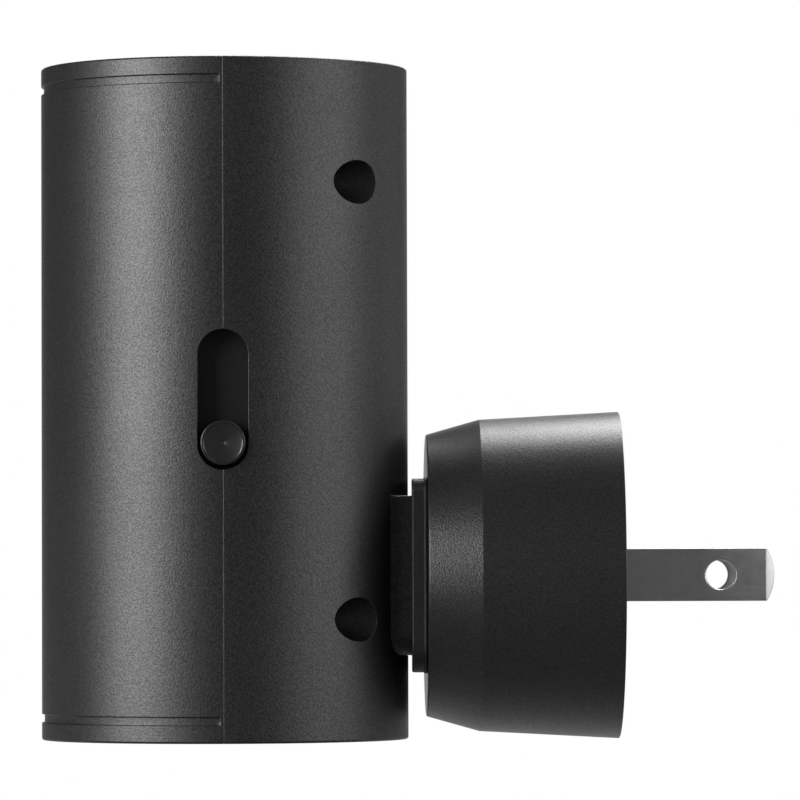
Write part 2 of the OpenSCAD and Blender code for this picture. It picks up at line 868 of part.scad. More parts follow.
// Square plate, square key and hollow spindle in one piece
module swivel_spindle() {
    groove_r = spindle_r - ring_groove;
    color(shell_black) difference() {
        union() {
            extrude_yz(pad_x, -plug_depth - fit_gap) plate_outline();
            box([pad_x - key_l, -key_w / 2, -key_w / 2], [pad_x + edge_r, key_w / 2, key_w / 2]);
            rod_x(pad_x, spindle_end_x, 0, 0, spindle_r);
        }
        rod_x(pad_x - key_l - cut_over, spindle_end_x + cut_over, 0, 0, way_r);
        for (y = [-key_screw_r, key_screw_r], z = [-key_screw_r, key_screw_r])
            rod_x(pad_x - key_l - cut_over, pad_x - key_l + key_pilot_l, y, z,
                saddle_screw_d / 2 + run_gap);
        for (y = [flat_cut - spindle_r - cut_over - flat_cut, spindle_r - flat_cut])
            box([collar_x, y, -spindle_r], [spindle_end_x + cut_over, y + flat_cut + cut_over, spindle_r]);
        difference() {
            rod_x(ring_x, ring_x + ring_t + run_gap, 0, 0, spindle_r + cut_over);
            rod_x(ring_x - cut_over, ring_x + ring_t + cut_over, 0, 0, groove_r);
        }
    }
}

module spindle_screws() {
    color(steel) for (y = [-key_screw_r, key_screw_r], z = [-key_screw_r, key_screw_r])
        screw_x(saddle_face_x - ear_t, y, z, 1, saddle_screw_d,
            pad_x - key_l + key_pilot_l - fit_gap - saddle_face_x + ear_t, saddle_head_d,
            saddle_head_h);
}

// A ring sector about the swivel axis. Angle 0 points up and the sector is centred on it.
module sector_x(x0, x1, r0, r1, angle, centre) {
    translate([x0, 0, 0]) rotate([0, 90, 0]) rotate([0, 0, 180 + centre - angle / 2])
        rotate_extrude(angle = angle) translate([r0, 0]) square([r1 - r0, x1 - x0]);
}

// A collar keyed to the spindle's flats, with the tab that meets the stop rib
module stop_collar() {
    outer = spindle_r + collar_w;
    flat = spindle_r - flat_cut + run_gap;
    color("#d8d6cf") union() {
        difference() {
            rod_x(collar_x, ring_x, 0, 0, outer);
            intersection() {
                rod_x(collar_x - cut_over, ring_x + cut_over, 0, 0, spindle_r + run_gap);
                box([collar_x - cut_over, -flat, -outer], [ring_x + cut_over, flat, outer]);
            }
        }
        sector_x(collar_x, ring_x, outer - collar_w / 2, outer + collar_tab_w, collar_tab_angle, 180);
    }
}

// An open ring in the spindle's groove
module retaining_ring() {
    groove_r = spindle_r - ring_groove;
    color(steel) difference() {
        rod_x(ring_x, ring_x + ring_t, 0, 0, groove_r + ring_w);
        rod_x(ring_x - cut_over, ring_x + ring_t + cut_over, 0, 0, groove_r + run_gap);
        box([ring_x - cut_over, -ring_mouth / 2, -groove_r - ring_w - cut_over],
            [ring_x + ring_t + cut_over, ring_mouth / 2, 0]);
    }
}

// A conical spring washer between the bearing and the collar
module spring_washer() {
    r0 = spindle_r + 2 * fit_gap;
    color(steel) along_x(bearing_x) rotate_extrude()
        polygon([[r0 + washer_w, run_gap], [r0 + washer_w, run_gap + washer_t], [r0, washer_space],
            [r0, washer_space - washer_t]]);
}

module supply_cable() {
    color("#202022") rod_x(board_x + supply_socket_t, jack_x - soft_gap - supply_body_l, 0, 0, cable_r);
}

module supply_plug() {
    body_x = jack_x - soft_gap;
    color("#2a2a2c") rod_x(body_x - supply_body_l, body_x, 0, 0, way_r - fit_gap);
    color("#c9a85a") rod_x(body_x, jack_x + tip_in, 0, 0, tip_d / 2);
}

// A round cap with a conical dish and a socket for the dimmer's lever
module switch_knob() {
    y0 = body_r + knob_proud;
    knob_h = y0 + strip_y;
    dish_r = knob_r - dish_rim;
    round = dish_rim / 2;
    color(knob_black) difference() {
        translate([axis_x, strip_y, knob_z]) rotate([90, 0, 0]) rotate_extrude()
            polygon(concat([[0, 0], [knob_r, 0]], arc(knob_r - round, knob_h - round, round, 0, 90),
                [[dish_r, knob_h], [0, knob_h - dish_depth]]));
        box([axis_x - lever_t / 2 - run_gap, strip_y - lever_in_knob - fit_gap,
                knob_z - lever_l / 2 - run_gap],
            [axis_x + lever_t / 2 + run_gap, strip_y + cut_over, knob_z + lever_l / 2 + run_gap]);
    }
}

// The dark strip behind the slot, which moves with the knob and keeps the slot closed
module shutter_strip() {
    color("#161617") difference() {
        box([axis_x - strip_w / 2, strip_y, knob_z - strip_half_l],
            [axis_x + strip_w / 2, strip_y + strip_t, knob_z + strip_half_l]);
        box([axis_x - lever_t / 2 - run_gap, strip_y - cut_over, knob_z - lever_l / 2 - run_gap],
            [axis_x + lever_t / 2 + run_gap, strip_y + strip_t + cut_over,
                knob_z + lever_l / 2 + run_gap]);
    }
}

// The dimmer's lever with the foot that slides in its case
module dimmer_lever() {
    color("#d6d2c6") {
        box([axis_x - lever_t / 2, strip_y - lever_in_knob, knob_z - lever_l / 2],
            [axis_x + lever_t / 2, dimmer_y + foot_in + foot_t / 2, knob_z + lever_l / 2]);
        box([axis_x - foot_w / 2, dimmer_y + foot_in, knob_z - foot_l / 2],
            [axis_x + foot_w / 2, dimmer_y + foot_in + foot_t, knob_z + foot_l / 2]);
    }
}

// The places of the plug's three posts: one at the top, two below
module at_plug_posts() {
    for (i = [0:post_count - 1]) {
        a = i * 360 / post_count;
        translate([0, plug_post_at * sin(a), plug_post_at * cos(a)]) children();
    }
}

// A cone frustum shell with a bearing for the spindle, a stop rib and posts for the face plate
module plug_housing() {
    rib_r = spindle_r + collar_w + rib_gap;
    rib_angle = 360 - 2 * swivel_turn - collar_tab_angle - 2 * stop_play_angle;
    rear_slope = atan((plug_break_r - plug_rear_r) / plug_break_depth);
    side_slope = atan((plug_wall_r - plug_break_r) / (plug_depth - plug_break_depth));
    color(plug_black) difference() {
        union() {
            difference() {
                along_x(-plug_depth) rotate_extrude()
                    polygon(concat([[0, 0]], arc(plug_rear_r - edge_r, edge_r, edge_r, -90, -rear_slope),
                        [[plug_break_r, plug_break_depth]],
                        arc(plug_wall_r - edge_r, plug_depth - edge_r, edge_r, -side_slope, 90),
                        [[0, plug_depth]]));
                along_x(-plug_depth) rotate_extrude()
                    polygon([[0, rear_t], [plug_rear_r - plug_wall + edge_r, rear_t],
                        [plug_break_r - plug_wall, plug_break_depth],
                        [plug_wall_r - plug_wall, plug_depth], [0, plug_depth]]);
                rod_x(-base_t, cut_over, 0, 0, plug_wall_r - rim_w);
            }
            rod_x(-plug_depth + edge_r, bearing_x, 0, 0, spindle_r + bearing_wall);
            sector_x(-plug_depth + edge_r, ring_x, rib_r, rib_r + rib_w, rib_angle, 0);
            at_plug_posts() rod_x(-plug_depth + edge_r, -base_t, 0, 0, plug_post_r);
        }
        rod_x(-plug_depth - cut_over, bearing_x + cut_over, 0, 0, spindle_r + run_gap);
        at_plug_posts() rod_x(-base_t - face_screw_grip - cut_over, cut_over, 0, 0,
            face_screw_d / 2 + run_gap);
    }
}

// The places of the two blades
module at_blades() {
    for (y = [-blade_spacing / 2, blade_spacing / 2]) translate([0, y, 0]) children();
}

// A slot for a blade, from x0 to x1 and h high
module blade_way(x0, x1, h) {
    box([x0, -blade_t / 2 - run_gap, -h / 2 - run_gap], [x1, blade_t / 2 + run_gap, h / 2 + run_gap]);
}

// The round plate that closes the plug and lies on the wall
module face_plate() {
    color(plug_black) difference() {
        union() {
            rod_x(-base_t, 0, 0, 0, base_r);
            for (y = [-power_screw_y, power_screw_y])
                rod_x(retainer_x, -base_t / 2, y, power_screw_z, power_boss_r);
        }
        at_blades() blade_way(-base_t - cut_over, cut_over, blade_h);
        at_plug_posts() {
            rod_x(-base_t - cut_over, cut_over, 0, 0, face_screw_d / 2 + fit_gap);
            rod_x(-face_recess, cut_over, 0, 0, face_head_d / 2 + fit_gap);
        }
        for (y = [-power_screw_y, power_screw_y])
            rod_x(retainer_x - cut_over, retainer_x + power_pilot_l, y, power_screw_z,
                power_screw_d / 2 + run_gap);
    }
}

// A blade with a crowned, bevelled tip, a cross hole, shoulders and a narrow tail
module blade() {
    shoulder_h = blade_h + 2 * shoulder_up;
    tail_x = power_x - tail_proud;
    crown_x = blade_len - tip_r;
    bevel = (blade_t - tip_t) / 2;
    difference() {
        intersection() {
            union() {
                box([-base_t, -blade_t / 2, -blade_h / 2], [crown_x + tip_r / 2, blade_t / 2, blade_h / 2]);
                intersection() {
                    box([crown_x, -blade_t / 2, -blade_h / 2], [blade_len, blade_t / 2, blade_h / 2]);
                    translate([crown_x, -blade_t, 0]) rotate([-90, 0, 0])
                        cylinder(h = 2 * blade_t, r = tip_r);
                }
                box([-base_t - shoulder_l, -blade_t / 2, -shoulder_h / 2],
                    [-base_t, blade_t / 2, shoulder_h / 2]);
                box([tail_x, -blade_t / 2, -tail_h / 2], [-base_t, blade_t / 2, tail_h / 2]);
            }
            translate([0, 0, -shoulder_h]) linear_extrude(height = 2 * shoulder_h)
                polygon([[tail_x, -blade_t / 2], [blade_len - tip_bevel, -blade_t / 2],
                    [blade_len, -blade_t / 2 + bevel], [blade_len, blade_t / 2 - bevel],
                    [blade_len - tip_bevel, blade_t / 2], [tail_x, blade_t / 2]]);
        }
        translate([blade_hole_x, -blade_t, 0]) rotate([-90, 0, 0])
            cylinder(h = 2 * blade_t, d = blade_hole_d);
    }
}

module line_blade() {
    color(plating) translate([0, -blade_spacing / 2, 0]) blade();
}

module neutral_blade() {
    color(plating) translate([0, blade_spacing / 2, 0]) blade();
}

// A moulded block that holds both blades' shoulders against the face plate
module blade_retainer() {
    shoulder_h = blade_h + 2 * shoulder_up;
    color("#c9c5ba") difference() {
        box([retainer_x, -retainer_w / 2, -retainer_h / 2], [-base_t, retainer_w / 2, retainer_h / 2]);
        at_blades() {
            blade_way(-base_t - shoulder_l, cut_over, shoulder_h);
            blade_way(retainer_x - cut_over, cut_over, tail_h);
        }
    }
}

module face_plate_screws() {
    color(steel) at_plug_posts() screw_x(-face_recess, 0, 0, -1, face_screw_d,
        base_t - face_recess + face_screw_grip, face_head_d, face_head_h);
}

module power_board() {
    color(board_green) difference() {
        rod_x(power_x, retainer_x, 0, 0, power_board_r);
        at_plug_posts() rod_x(power_x - cut_over, retainer_x + cut_over, 0, 0, plug_post_r + soft_gap);
        at_blades() blade_way(power_x - cut_over, retainer_x + cut_over, tail_h);
        for (y = [-power_screw_y, power_screw_y])
            rod_x(power_x - cut_over, retainer_x + cut_over, y, power_screw_z,
                power_screw_d / 2 + fit_gap);
    }
}

module power_board_screws() {
    color(steel) for (y = [-power_screw_y, power_screw_y])
        screw_x(power_x, y, power_screw_z, 1, power_screw_d, power_board_t + power_pilot_l - fit_gap,
            power_head_d, power_head_h);
}

// An E shaped ferrite core round the winding
module transformer_core() {
    color("#35343a") difference() {
        box([power_x - core_t, -core_w / 2, -core_down - core_h / 2],
            [power_x, core_w / 2, -core_down + core_h / 2]);
        for (side = [-1, 1]) {
            y = side * (core_limb + core_leg / 2);
            box([power_x - core_t + core_limb, y - core_leg / 2, -core_down - core_h],
                [power_x - core_limb, y + core_leg / 2, -core_down + core_h]);
        }
    }
}

// The coil round the core's middle limb, through both of its windows
module transformer_winding() {
    out_y = core_limb + core_leg - winding_gap;
    out_z = core_h / 2 + winding_out;
    in_y = core_limb + winding_gap;
    in_z = core_h / 2 + winding_gap;
    color("#b0632e") translate([0, 0, -core_down]) difference() {
        box([power_x - core_t + core_limb, -out_y, -out_z], [power_x - core_limb, out_y, out_z]);
        box([power_x - core_t, -in_y, -in_z], [power_x, in_y, in_z]);
    }
}

module power_capacitors() {
    color("#26324a") for (y = [-power_cap_y, power_cap_y])
        rod_x(power_x - power_cap_h, power_x, y, power_cap_z, power_cap_r);
}

module rectifier() {
    color("#1d1d1f") translate([power_x - rectifier_size[0], rectifier_y - rectifier_size[1] / 2,
            rectifier_z - rectifier_size[2] / 2])
        cube(rectifier_size);
}

module fuse_resistor() {
    color("#7b9a8c") translate([power_x - fuse_r, -fuse_l / 2, fuse_z]) rotate([-90, 0, 0])
        cylinder(h = fuse_l, r = fuse_r);
}

// The socket for the supply plug's round tip, in which it can turn
module output_jack() {
    color("#2a2a2c") difference() {
        box([jack_x, -jack_w / 2, -jack_w / 2], [power_x, jack_w / 2, jack_w / 2]);
        rod_x(jack_x - cut_over, power_x - jack_floor, 0, 0, tip_d / 2 + run_gap);
    }
}

front_shell();
back_shell();
top_diffuser();
bottom_diffuser();
top_reflector();
bottom_reflector();
top_led_board();
bottom_led_board();
top_leds();
bottom_leds();
led_board_screws();
main_board();
board_screws();
dimmer_body();
control_chip();
smoothing_capacitor();
chip_resistors();
supply_socket();
led_sockets();
top_led_leads();
bottom_led_leads();
shell_screws();
saddle_block();
saddle_screws();
swivel_spindle();
spindle_screws();
stop_collar();
retaining_ring();
spring_washer();
supply_cable();
supply_plug();
switch_knob();
shutter_strip();
dimmer_lever();
plug_housing();
face_plate();
line_blade();
neutral_blade();
blade_retainer();
face_plate_screws();
power_board();
power_board_screws();
transformer_core();
transformer_winding();
power_capacitors();
rectifier();
fuse_resistor();
output_jack();
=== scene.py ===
# %% [markdown]
# A plug in night light: a black upright cylinder with light ends, a sliding knob in a slot, and a
# square pad and plate that carry it on a round plug with two flat blades. The exact solids come
# first, as a fixed frame. Each visible surface then gets its finish, and the moulded parts that the
# camera sees closely are made again as clean meshes with rounded edges, in the same place.

# %% Load the solids and keep the box they fill
import json
import math

import bmesh
import bpy
from mathutils import Matrix, Vector


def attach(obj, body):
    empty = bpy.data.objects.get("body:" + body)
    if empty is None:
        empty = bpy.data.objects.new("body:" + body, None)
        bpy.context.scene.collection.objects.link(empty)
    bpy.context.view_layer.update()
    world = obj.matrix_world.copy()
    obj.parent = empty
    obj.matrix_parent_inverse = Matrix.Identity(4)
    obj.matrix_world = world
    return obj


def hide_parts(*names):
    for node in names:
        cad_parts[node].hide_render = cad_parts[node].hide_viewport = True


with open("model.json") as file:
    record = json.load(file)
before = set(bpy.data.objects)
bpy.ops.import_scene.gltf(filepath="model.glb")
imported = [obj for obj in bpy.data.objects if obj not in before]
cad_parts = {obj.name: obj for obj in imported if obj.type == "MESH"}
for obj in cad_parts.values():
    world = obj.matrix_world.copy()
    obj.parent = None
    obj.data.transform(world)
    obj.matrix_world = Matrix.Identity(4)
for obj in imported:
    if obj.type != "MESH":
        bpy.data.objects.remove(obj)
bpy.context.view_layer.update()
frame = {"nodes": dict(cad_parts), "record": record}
MM = 0.001


def show(thing):
    bpy.context.scene.collection.objects.link(thing)
    return thing


# %% [markdown]
# The photograph was taken with a long lens from the side, a little to the left of the plug and level
# with it. A long lens keeps the far side nearly as large as the near one, so the camera stands three
# quarters of a metre away with a narrow angle of view. It looks a degree to the right and a degree
# and a half upwards.

# %% Camera at the photograph's angle
CAMERA_AT = Vector((-40.26, -768.06, 0.69)) * MM
YAW, PITCH, ROLL = 0.0179, 0.0269, -0.003
LENS = 284.1

level = math.cos(PITCH)
forward = Vector((math.sin(YAW) * level, math.cos(YAW) * level, math.sin(PITCH)))
right = Vector((math.cos(YAW), -math.sin(YAW), 0))
up = right.cross(forward)
turn = Matrix((right, up, -forward)).transposed() @ Matrix.Rotation(ROLL, 3, "Z")

camera_data = bpy.data.cameras.new("photo_camera")
camera_data.lens = LENS
camera_data.sensor_width = 36
camera_data.clip_start = 0.01
camera = bpy.data.objects.new("photo_camera", camera_data)
camera.matrix_world = Matrix.Translation(CAMERA_AT) @ turn.to_4x4()
bpy.context.scene.camera = show(camera)
print("camera:", round(LENS, 1), "mm lens at", tuple(round(v, 3) for v in CAMERA_AT))

# %% [markdown]
# Black plastic shows almost nothing but the light that it mirrors, so the studio matters more than
# the colour. Soft boxes are area lamps here: a tall one at the front left draws the broad streak on
# the cylinder, a weaker one at the right draws the second streak, and a very dim one beyond it keeps
# the plug's edge from going black. One above and behind lights the top of the plug, and a weak one
# above the wall's side softens where its light ends. The lamps are hidden from the camera, as they
# are in any studio picture.

# %% Soft boxes round the object
AIM = Vector((-26, 0, 15)) * MM


def soft_box(name, azimuth, elevation, distance, width, height, radiance):
    """An area lamp aimed at the object: azimuth 0 is the camera's side, and 90 the wall's side."""
    a, e = math.radians(azimuth), math.radians(elevation)
    away = Vector((math.sin(a) * math.cos(e), -math.cos(a) * math.cos(e), math.sin(e)))
    data = bpy.data.lights.new(name, "AREA")
    data.shape = "RECTANGLE"
    data.size, data.size_y = width, height
    data.energy = 4 * width * height * radiance
    lamp = bpy.data.objects.new(name, data)
    lamp.location = AIM + away * distance
    lamp.rotation_euler = away.to_track_quat("Z", "Y").to_euler()
    lamp.visible_camera = False
    show(lamp)


# Each has its azimuth, elevation, distance, width, height and radiance.
LAMPS = {
    "key_box": (-56, 2, 1.6, 0.95, 1.7, 9.3),
    "fill_box": (64, 2, 1.6, 1.35, 1.4, 2.3),
    "side_box": (110, 2, 1.6, 1.8, 1.4, 0.28),
    "top_box": (160, 51, 1.6, 0.7, 0.8, 10.0),
    "wall_box": (95, 55, 1.6, 0.9, 0.9, 1.5),
}
for lamp_name, lamp_values in LAMPS.items():
    soft_box(lamp_name, *lamp_values)
print("lamps:", len(LAMPS))

# %% [markdown]
# The world, the floor and all finishes are trees of nodes. A few short functions make the nodes that
# come again and again, so that each tree below reads as what it does.

# %% Helpers for node trees


def wire(tree, source, target):
    tree.links.new(source, target)


def feed(tree, value, socket):
    """Gives an input its plain value, or a link where the value is another node's output."""
    if isinstance(value, (int, float, tuple)):
        socket.default_value = value
    else:
        wire(tree, value, socket)


def math_node(tree, kind, *values):
    """A Math node. Each value is a number or a socket."""
    node = tree.nodes.new("ShaderNodeMath")
    node.operation = kind
    for socket, value in zip(node.inputs, values):
        feed(tree, value, socket)
    return node.outputs[0]


def ranged(tree, value, low, high, to_low, to_high, curve="LINEAR"):
    """A Map Range node from low..high to to_low..to_high, with plain numbers or sockets."""
    node = tree.nodes.new("ShaderNodeMapRange")
    node.interpolation_type = curve
    labels = ("Value", "From Min", "From Max", "To Min", "To Max")
    for label, number in zip(labels, (value, low, high, to_low, to_high)):
        feed(tree, number, node.inputs[label])
    return node.outputs[0]


def axis_of(tree, coordinates, axis):
    """One axis of the named texture coordinates."""
    place = tree.nodes.new("ShaderNodeTexCoord")
    axes = tree.nodes.new("ShaderNodeSeparateXYZ")
    wire(tree, place.outputs[coordinates], axes.inputs[0])
    return axes.outputs[axis]


def mixed(tree, kind, share, first, second):
    """A Mix node of kind Float or Color between two values or sockets."""
    node = tree.nodes.new("ShaderNodeMix")
    node.data_type = "RGBA" if kind == "Color" else "FLOAT"
    sockets = {socket.identifier: socket for socket in node.inputs}
    feed(tree, share, sockets["Factor_Float"])
    feed(tree, first, sockets["A_" + kind])
    feed(tree, second, sockets["B_" + kind])
    return {socket.identifier: socket for socket in node.outputs}["Result_" + kind]


def new_material(name):
    """A material with its node tree and its shader."""
    material = bpy.data.materials.new(name)
    material.use_nodes = True
    return material, material.node_tree, material.node_tree.nodes["Principled BSDF"]


print("node helpers are ready")

# %% [markdown]
# The backdrop is pure white to the camera. Rays that bounce off gloss or pass through clear parts
# see the same white behind the object, while the room on the photographer's side is dim. Every
# other ray gets a little even light, so that shadows aren't black.

# %% World: white backdrop, dim room
ROOM_DIM, ROOM_WHITE, EVEN_LIGHT = 0.1, 1.0, 0.2
WHITE_FROM, WHITE_FULL = 0.93, 0.99

world = bpy.data.worlds.new("studio")
bpy.context.scene.world = world
world.use_nodes = True
sky = world.node_tree
sky.nodes.clear()
sky_out = sky.nodes.new("ShaderNodeOutputWorld")
sky_light = sky.nodes.new("ShaderNodeBackground")
sky_path = sky.nodes.new("ShaderNodeLightPath")
rearwards = axis_of(sky, "Generated", "Y")
behind = ranged(sky, rearwards, WHITE_FROM, WHITE_FULL, ROOM_DIM, ROOM_WHITE, "SMOOTHSTEP")
glossy, through = sky_path.outputs["Is Glossy Ray"], sky_path.outputs["Is Transmission Ray"]
mirrored = math_node(sky, "MAXIMUM", glossy, through)
mirror_light = math_node(sky, "MULTIPLY", mirrored, behind)
even = math_node(sky, "MULTIPLY", math_node(sky, "SUBTRACT", 1, mirrored), EVEN_LIGHT)
indirect = math_node(sky, "ADD", mirror_light, even)
seen = math_node(sky, "MAXIMUM", indirect, sky_path.outputs["Is Camera Ray"])
sky_light.inputs["Color"].default_value = (1, 1, 1, 1)
wire(sky, seen, sky_light.inputs["Strength"])
wire(sky, sky_light.outputs[0], sky_out.inputs["Surface"])
print("world: white to the camera,", EVEN_LIGHT, "elsewhere")

# %% [markdown]
# The floor is a plain white sheet a little below the object. It takes shadows as paper does, and a
# small glow for camera rays alone lifts it to the white of the backdrop, so no horizon shows. Gloss
# sees it darker, most of all in front of the object, where a studio's table would end.

# %% Floor
FLOOR_Z, FLOOR_HALF = -0.07, 1.1
PAPER, PAPER_GLOW = 0.82, 0.3
FRONT_Y, REAR_Y = -0.04, 0.05
FRONT_TONE, REAR_TONE = 0.06, 0.34

floor_mesh = bpy.data.meshes.new("floor")
near, far = -FLOOR_HALF, FLOOR_HALF
corners = [(near, near), (far, near), (far, far), (near, far)]
floor_mesh.from_pydata([(x, y, FLOOR_Z) for x, y in corners], [], [(0, 1, 2, 3)])
floor = show(bpy.data.objects.new("floor", floor_mesh))

paper, tree, shader = new_material("white_paper")
shader.inputs["Roughness"].default_value = 0.9
shader.inputs["Specular IOR Level"].default_value = 0.2
shader.inputs["Emission Color"].default_value = (1, 1, 1, 1)
rays = tree.nodes.new("ShaderNodeLightPath")
glow = math_node(tree, "MULTIPLY", rays.outputs["Is Camera Ray"], PAPER_GLOW)
wire(tree, glow, shader.inputs["Emission Strength"])
fade = ranged(tree, axis_of(tree, "Object", "Y"), FRONT_Y, REAR_Y, FRONT_TONE, REAR_TONE, "SMOOTHSTEP")
tone = mixed(tree, "Float", rays.outputs["Is Glossy Ray"], PAPER, fade)
wire(tree, tone, shader.inputs["Base Color"])
floor_mesh.materials.append(paper)
bpy.context.scene.view_settings.view_transform = "Standard"
print("floor at", FLOOR_Z)

# %% [markdown]
# Moulded plastic copies the etched steel of its mould: a fine grain of shallow bumps a fifth of a
# millimetre across, and broad patches that are a little glossier or duller. The tops of the grain
# are worn smoother, so they are a little lighter and have a second gloss, which gives black plastic
# its faint speckle. Several finishes need this, so it is one node group that every plastic uses with
# its own numbers.

# %% Node group: moulded grain


def new_group(name, inputs, outputs):
    """A shader node group with named number inputs, given as name: start value, and named outputs."""
    group = bpy.data.node_groups.new(name, "ShaderNodeTree")
    for label, start in inputs.items():
        socket = group.interface.new_socket(label, in_out="INPUT", socket_type="NodeSocketFloat")
        socket.default_value = start
    for label in outputs:
        group.interface.new_socket(label, in_out="OUTPUT", socket_type="NodeSocketFloat")
    return group, group.nodes.new("NodeGroupInput"), group.nodes.new("NodeGroupOutput")


def give(group, outputs, **results):
    """Links a group's results to its named outputs."""
    for label, result in results.items():
        wire(group, result, outputs.inputs[label])


def noise(tree, place, scale, detail=2.0, roughness=0.5):
    """A noise texture on the piece's own coordinates, in features per metre."""
    node = tree.nodes.new("ShaderNodeTexNoise")
    node.inputs["Detail"].default_value = detail
    node.inputs["Roughness"].default_value = roughness
    feed(tree, scale, node.inputs["Scale"])
    wire(tree, place, node.inputs["Vector"])
    return node.outputs[0]


grain, grain_in, grain_out = new_group(
    "moulded_grain",
    {"Grain per metre": 4800.0, "Depth": 1.0, "Roughness": 0.5, "Patchiness": 0.02, "Sparkle": 0.5},
    ("Height", "Roughness", "Tone", "Gloss"),
)
grain_place = grain.nodes.new("ShaderNodeTexCoord").outputs["Object"]
grains, depth, roughness, patchiness, sparkle = grain_in.outputs[:5]
fine = noise(grain, grain_place, grains, 1.0, 0.5)
broad = noise(grain, grain_place, 70.0, 3.0)
patch = ranged(grain, broad, 0.3, 0.7, -1.0, 1.0)
speck = ranged(grain, fine, 0.36, 0.64, 0.0, 1.0)
shade = ranged(grain, broad, 0.25, 0.75, -0.1, 0.1)
give(
    grain, grain_out,
    Height=math_node(grain, "MULTIPLY", fine, depth),
    Roughness=math_node(grain, "MULTIPLY_ADD", patch, patchiness, roughness),
    Tone=math_node(grain, "ADD", speck, shade),
    Gloss=math_node(grain, "MULTIPLY", speck, sparkle),
)
print("group:", grain.name)

# %% [markdown]
# Plated and stamped metal has another look: fine drawn lines along the strip, and a faint mottling
# where the plating is thicker. It is a second group, for screws, blades and contacts.

# %% Node group: drawn metal
drawn, drawn_in, drawn_out = new_group(
    "drawn_metal", {"Lines per metre": 5200.0, "Roughness": 0.3}, ("Height", "Roughness", "Tone")
)
drawn_place = drawn.nodes.new("ShaderNodeTexCoord").outputs["Object"]
stretch = drawn.nodes.new("ShaderNodeVectorMath")
stretch.operation = "MULTIPLY"
stretch.inputs[1].default_value = (0.03, 1.0, 1.0)
wire(drawn, drawn_place, stretch.inputs[0])
lines = noise(drawn, stretch.outputs[0], drawn_in.outputs["Lines per metre"], 2.0, 0.6)
mottle = noise(drawn, drawn_place, 700.0, 4.0, 0.65)
wander = ranged(drawn, mottle, 0.3, 0.7, -0.03, 0.03)
scratch = ranged(drawn, lines, 0.3, 0.7, -0.04, 0.04)
uneven = math_node(drawn, "ADD", wander, scratch)
rough = math_node(drawn, "ADD", uneven, drawn_in.outputs["Roughness"])
give(drawn, drawn_out, Height=lines, Roughness=rough, Tone=ranged(drawn, mottle, 0.3, 0.7, 0.0, 1.0))
print("group:", drawn.name)

# %% [markdown]
# One function makes a finish from a group and its numbers. The group's tone mixes a dark and a light
# colour, its roughness goes to the shader, its gloss to the shader's clear coat, and its height goes
# through a bump node. What is the same all over a surface stays on the shader's own sockets.

# %% Finishes for every slot of the record
METAL_BUMP, METAL_DARK = 0.000003, 0.86
# Where the blade's ground tip starts: its extra roughness is the grinding, its lighter grey a painted
# highlight.
GROUND_HIGHLIGHT_FROM, GROUND_HIGHLIGHT_OVER = 17.42 * MM, 0.05 * MM
finishes = {}


def finish(name, group, dark, light, bump, numbers, metallic=0.0, shader_values=()):
    """Adds a finish whose colour, roughness and bump come from a group. bump is in metres."""
    material, tree, shader = new_material(name)
    effect = tree.nodes.new("ShaderNodeGroup")
    effect.node_tree = group
    for label, number in numbers.items():
        effect.inputs[label].default_value = number
    colour = mixed(tree, "Color", effect.outputs["Tone"], (*dark, 1), (*light, 1))
    wire(tree, colour, shader.inputs["Base Color"])
    wire(tree, effect.outputs["Roughness"], shader.inputs["Roughness"])
    relief = tree.nodes.new("ShaderNodeBump")
    relief.inputs["Distance"].default_value = bump
    relief.inputs["Strength"].default_value = 1.0
    wire(tree, effect.outputs["Height"], relief.inputs["Height"])
    wire(tree, relief.outputs[0], shader.inputs["Normal"])
    if "Gloss" in effect.outputs:
        wire(tree, effect.outputs["Gloss"], shader.inputs["Coat Weight"])
        shader.inputs["Coat Roughness"].default_value = numbers["Roughness"]
    shader.inputs["Metallic"].default_value = metallic
    for label, value in shader_values:
        shader.inputs[label].default_value = value
    finishes[name] = material


def plastic(name, colour, contrast=0.12, bump=0.00003, roughness=0.5, sparkle=0.1, **extra):
    """Moulded plastic. Sparkle is how much of a second gloss the tops of the grain have."""
    dark = tuple(c * (1 - contrast) for c in colour)
    light = tuple(min(1.0, c * (1 + contrast)) for c in colour)
    numbers = {"Roughness": roughness, "Sparkle": sparkle}
    finish(name, grain, dark, light, bump, numbers, shader_values=extra.items())


def metal(name, colour, roughness):
    dark = tuple(c * METAL_DARK for c in colour)
    finish(name, drawn, dark, colour, METAL_BUMP, {"Roughness": roughness}, metallic=1.0)


plastic("shell_black", (0.004, 0.0041, 0.0043), 0.3, roughness=0.44, sparkle=0.6, IOR=1.5)
plastic("plug_black", (0.009, 0.0092, 0.0094), 0.15, roughness=0.35, sparkle=0.42, IOR=1.43)
plastic("spindle_black", (0.006, 0.0062, 0.0064), 0.2, roughness=0.48, sparkle=0.3, IOR=1.45)
plastic("knob_black", (0.008, 0.0082, 0.0084), bump=0.000002, roughness=0.29, IOR=1.55)
plastic("strip_black", (0.004, 0.004, 0.0042), bump=0.00001, IOR=1.4)
plastic("opal", (0.78, 0.765, 0.73), contrast=0.01, bump=0.000004, roughness=0.42)
plastic("reflector_white", (0.86, 0.86, 0.84), contrast=0.02, bump=0.000005)
plastic("board_white", (0.8, 0.82, 0.78), contrast=0.03, bump=0.000005, roughness=0.35)
plastic("board_green", (0.02, 0.13, 0.06), contrast=0.2, bump=0.00001, roughness=0.3)
plastic("led", (0.85, 0.7, 0.25), contrast=0.06, bump=0.000003, roughness=0.25)
plastic("component_black", (0.02, 0.02, 0.022), roughness=0.55)
plastic("capacitor_sleeve", (0.02, 0.03, 0.07), bump=0.000004, roughness=0.3)
plastic("resistor_body", (0.18, 0.32, 0.26), bump=0.00001, roughness=0.45)
plastic("socket_plastic", (0.78, 0.75, 0.66), contrast=0.04, bump=0.00001)
plastic("bearing_plastic", (0.68, 0.66, 0.6), contrast=0.05, bump=0.00001)
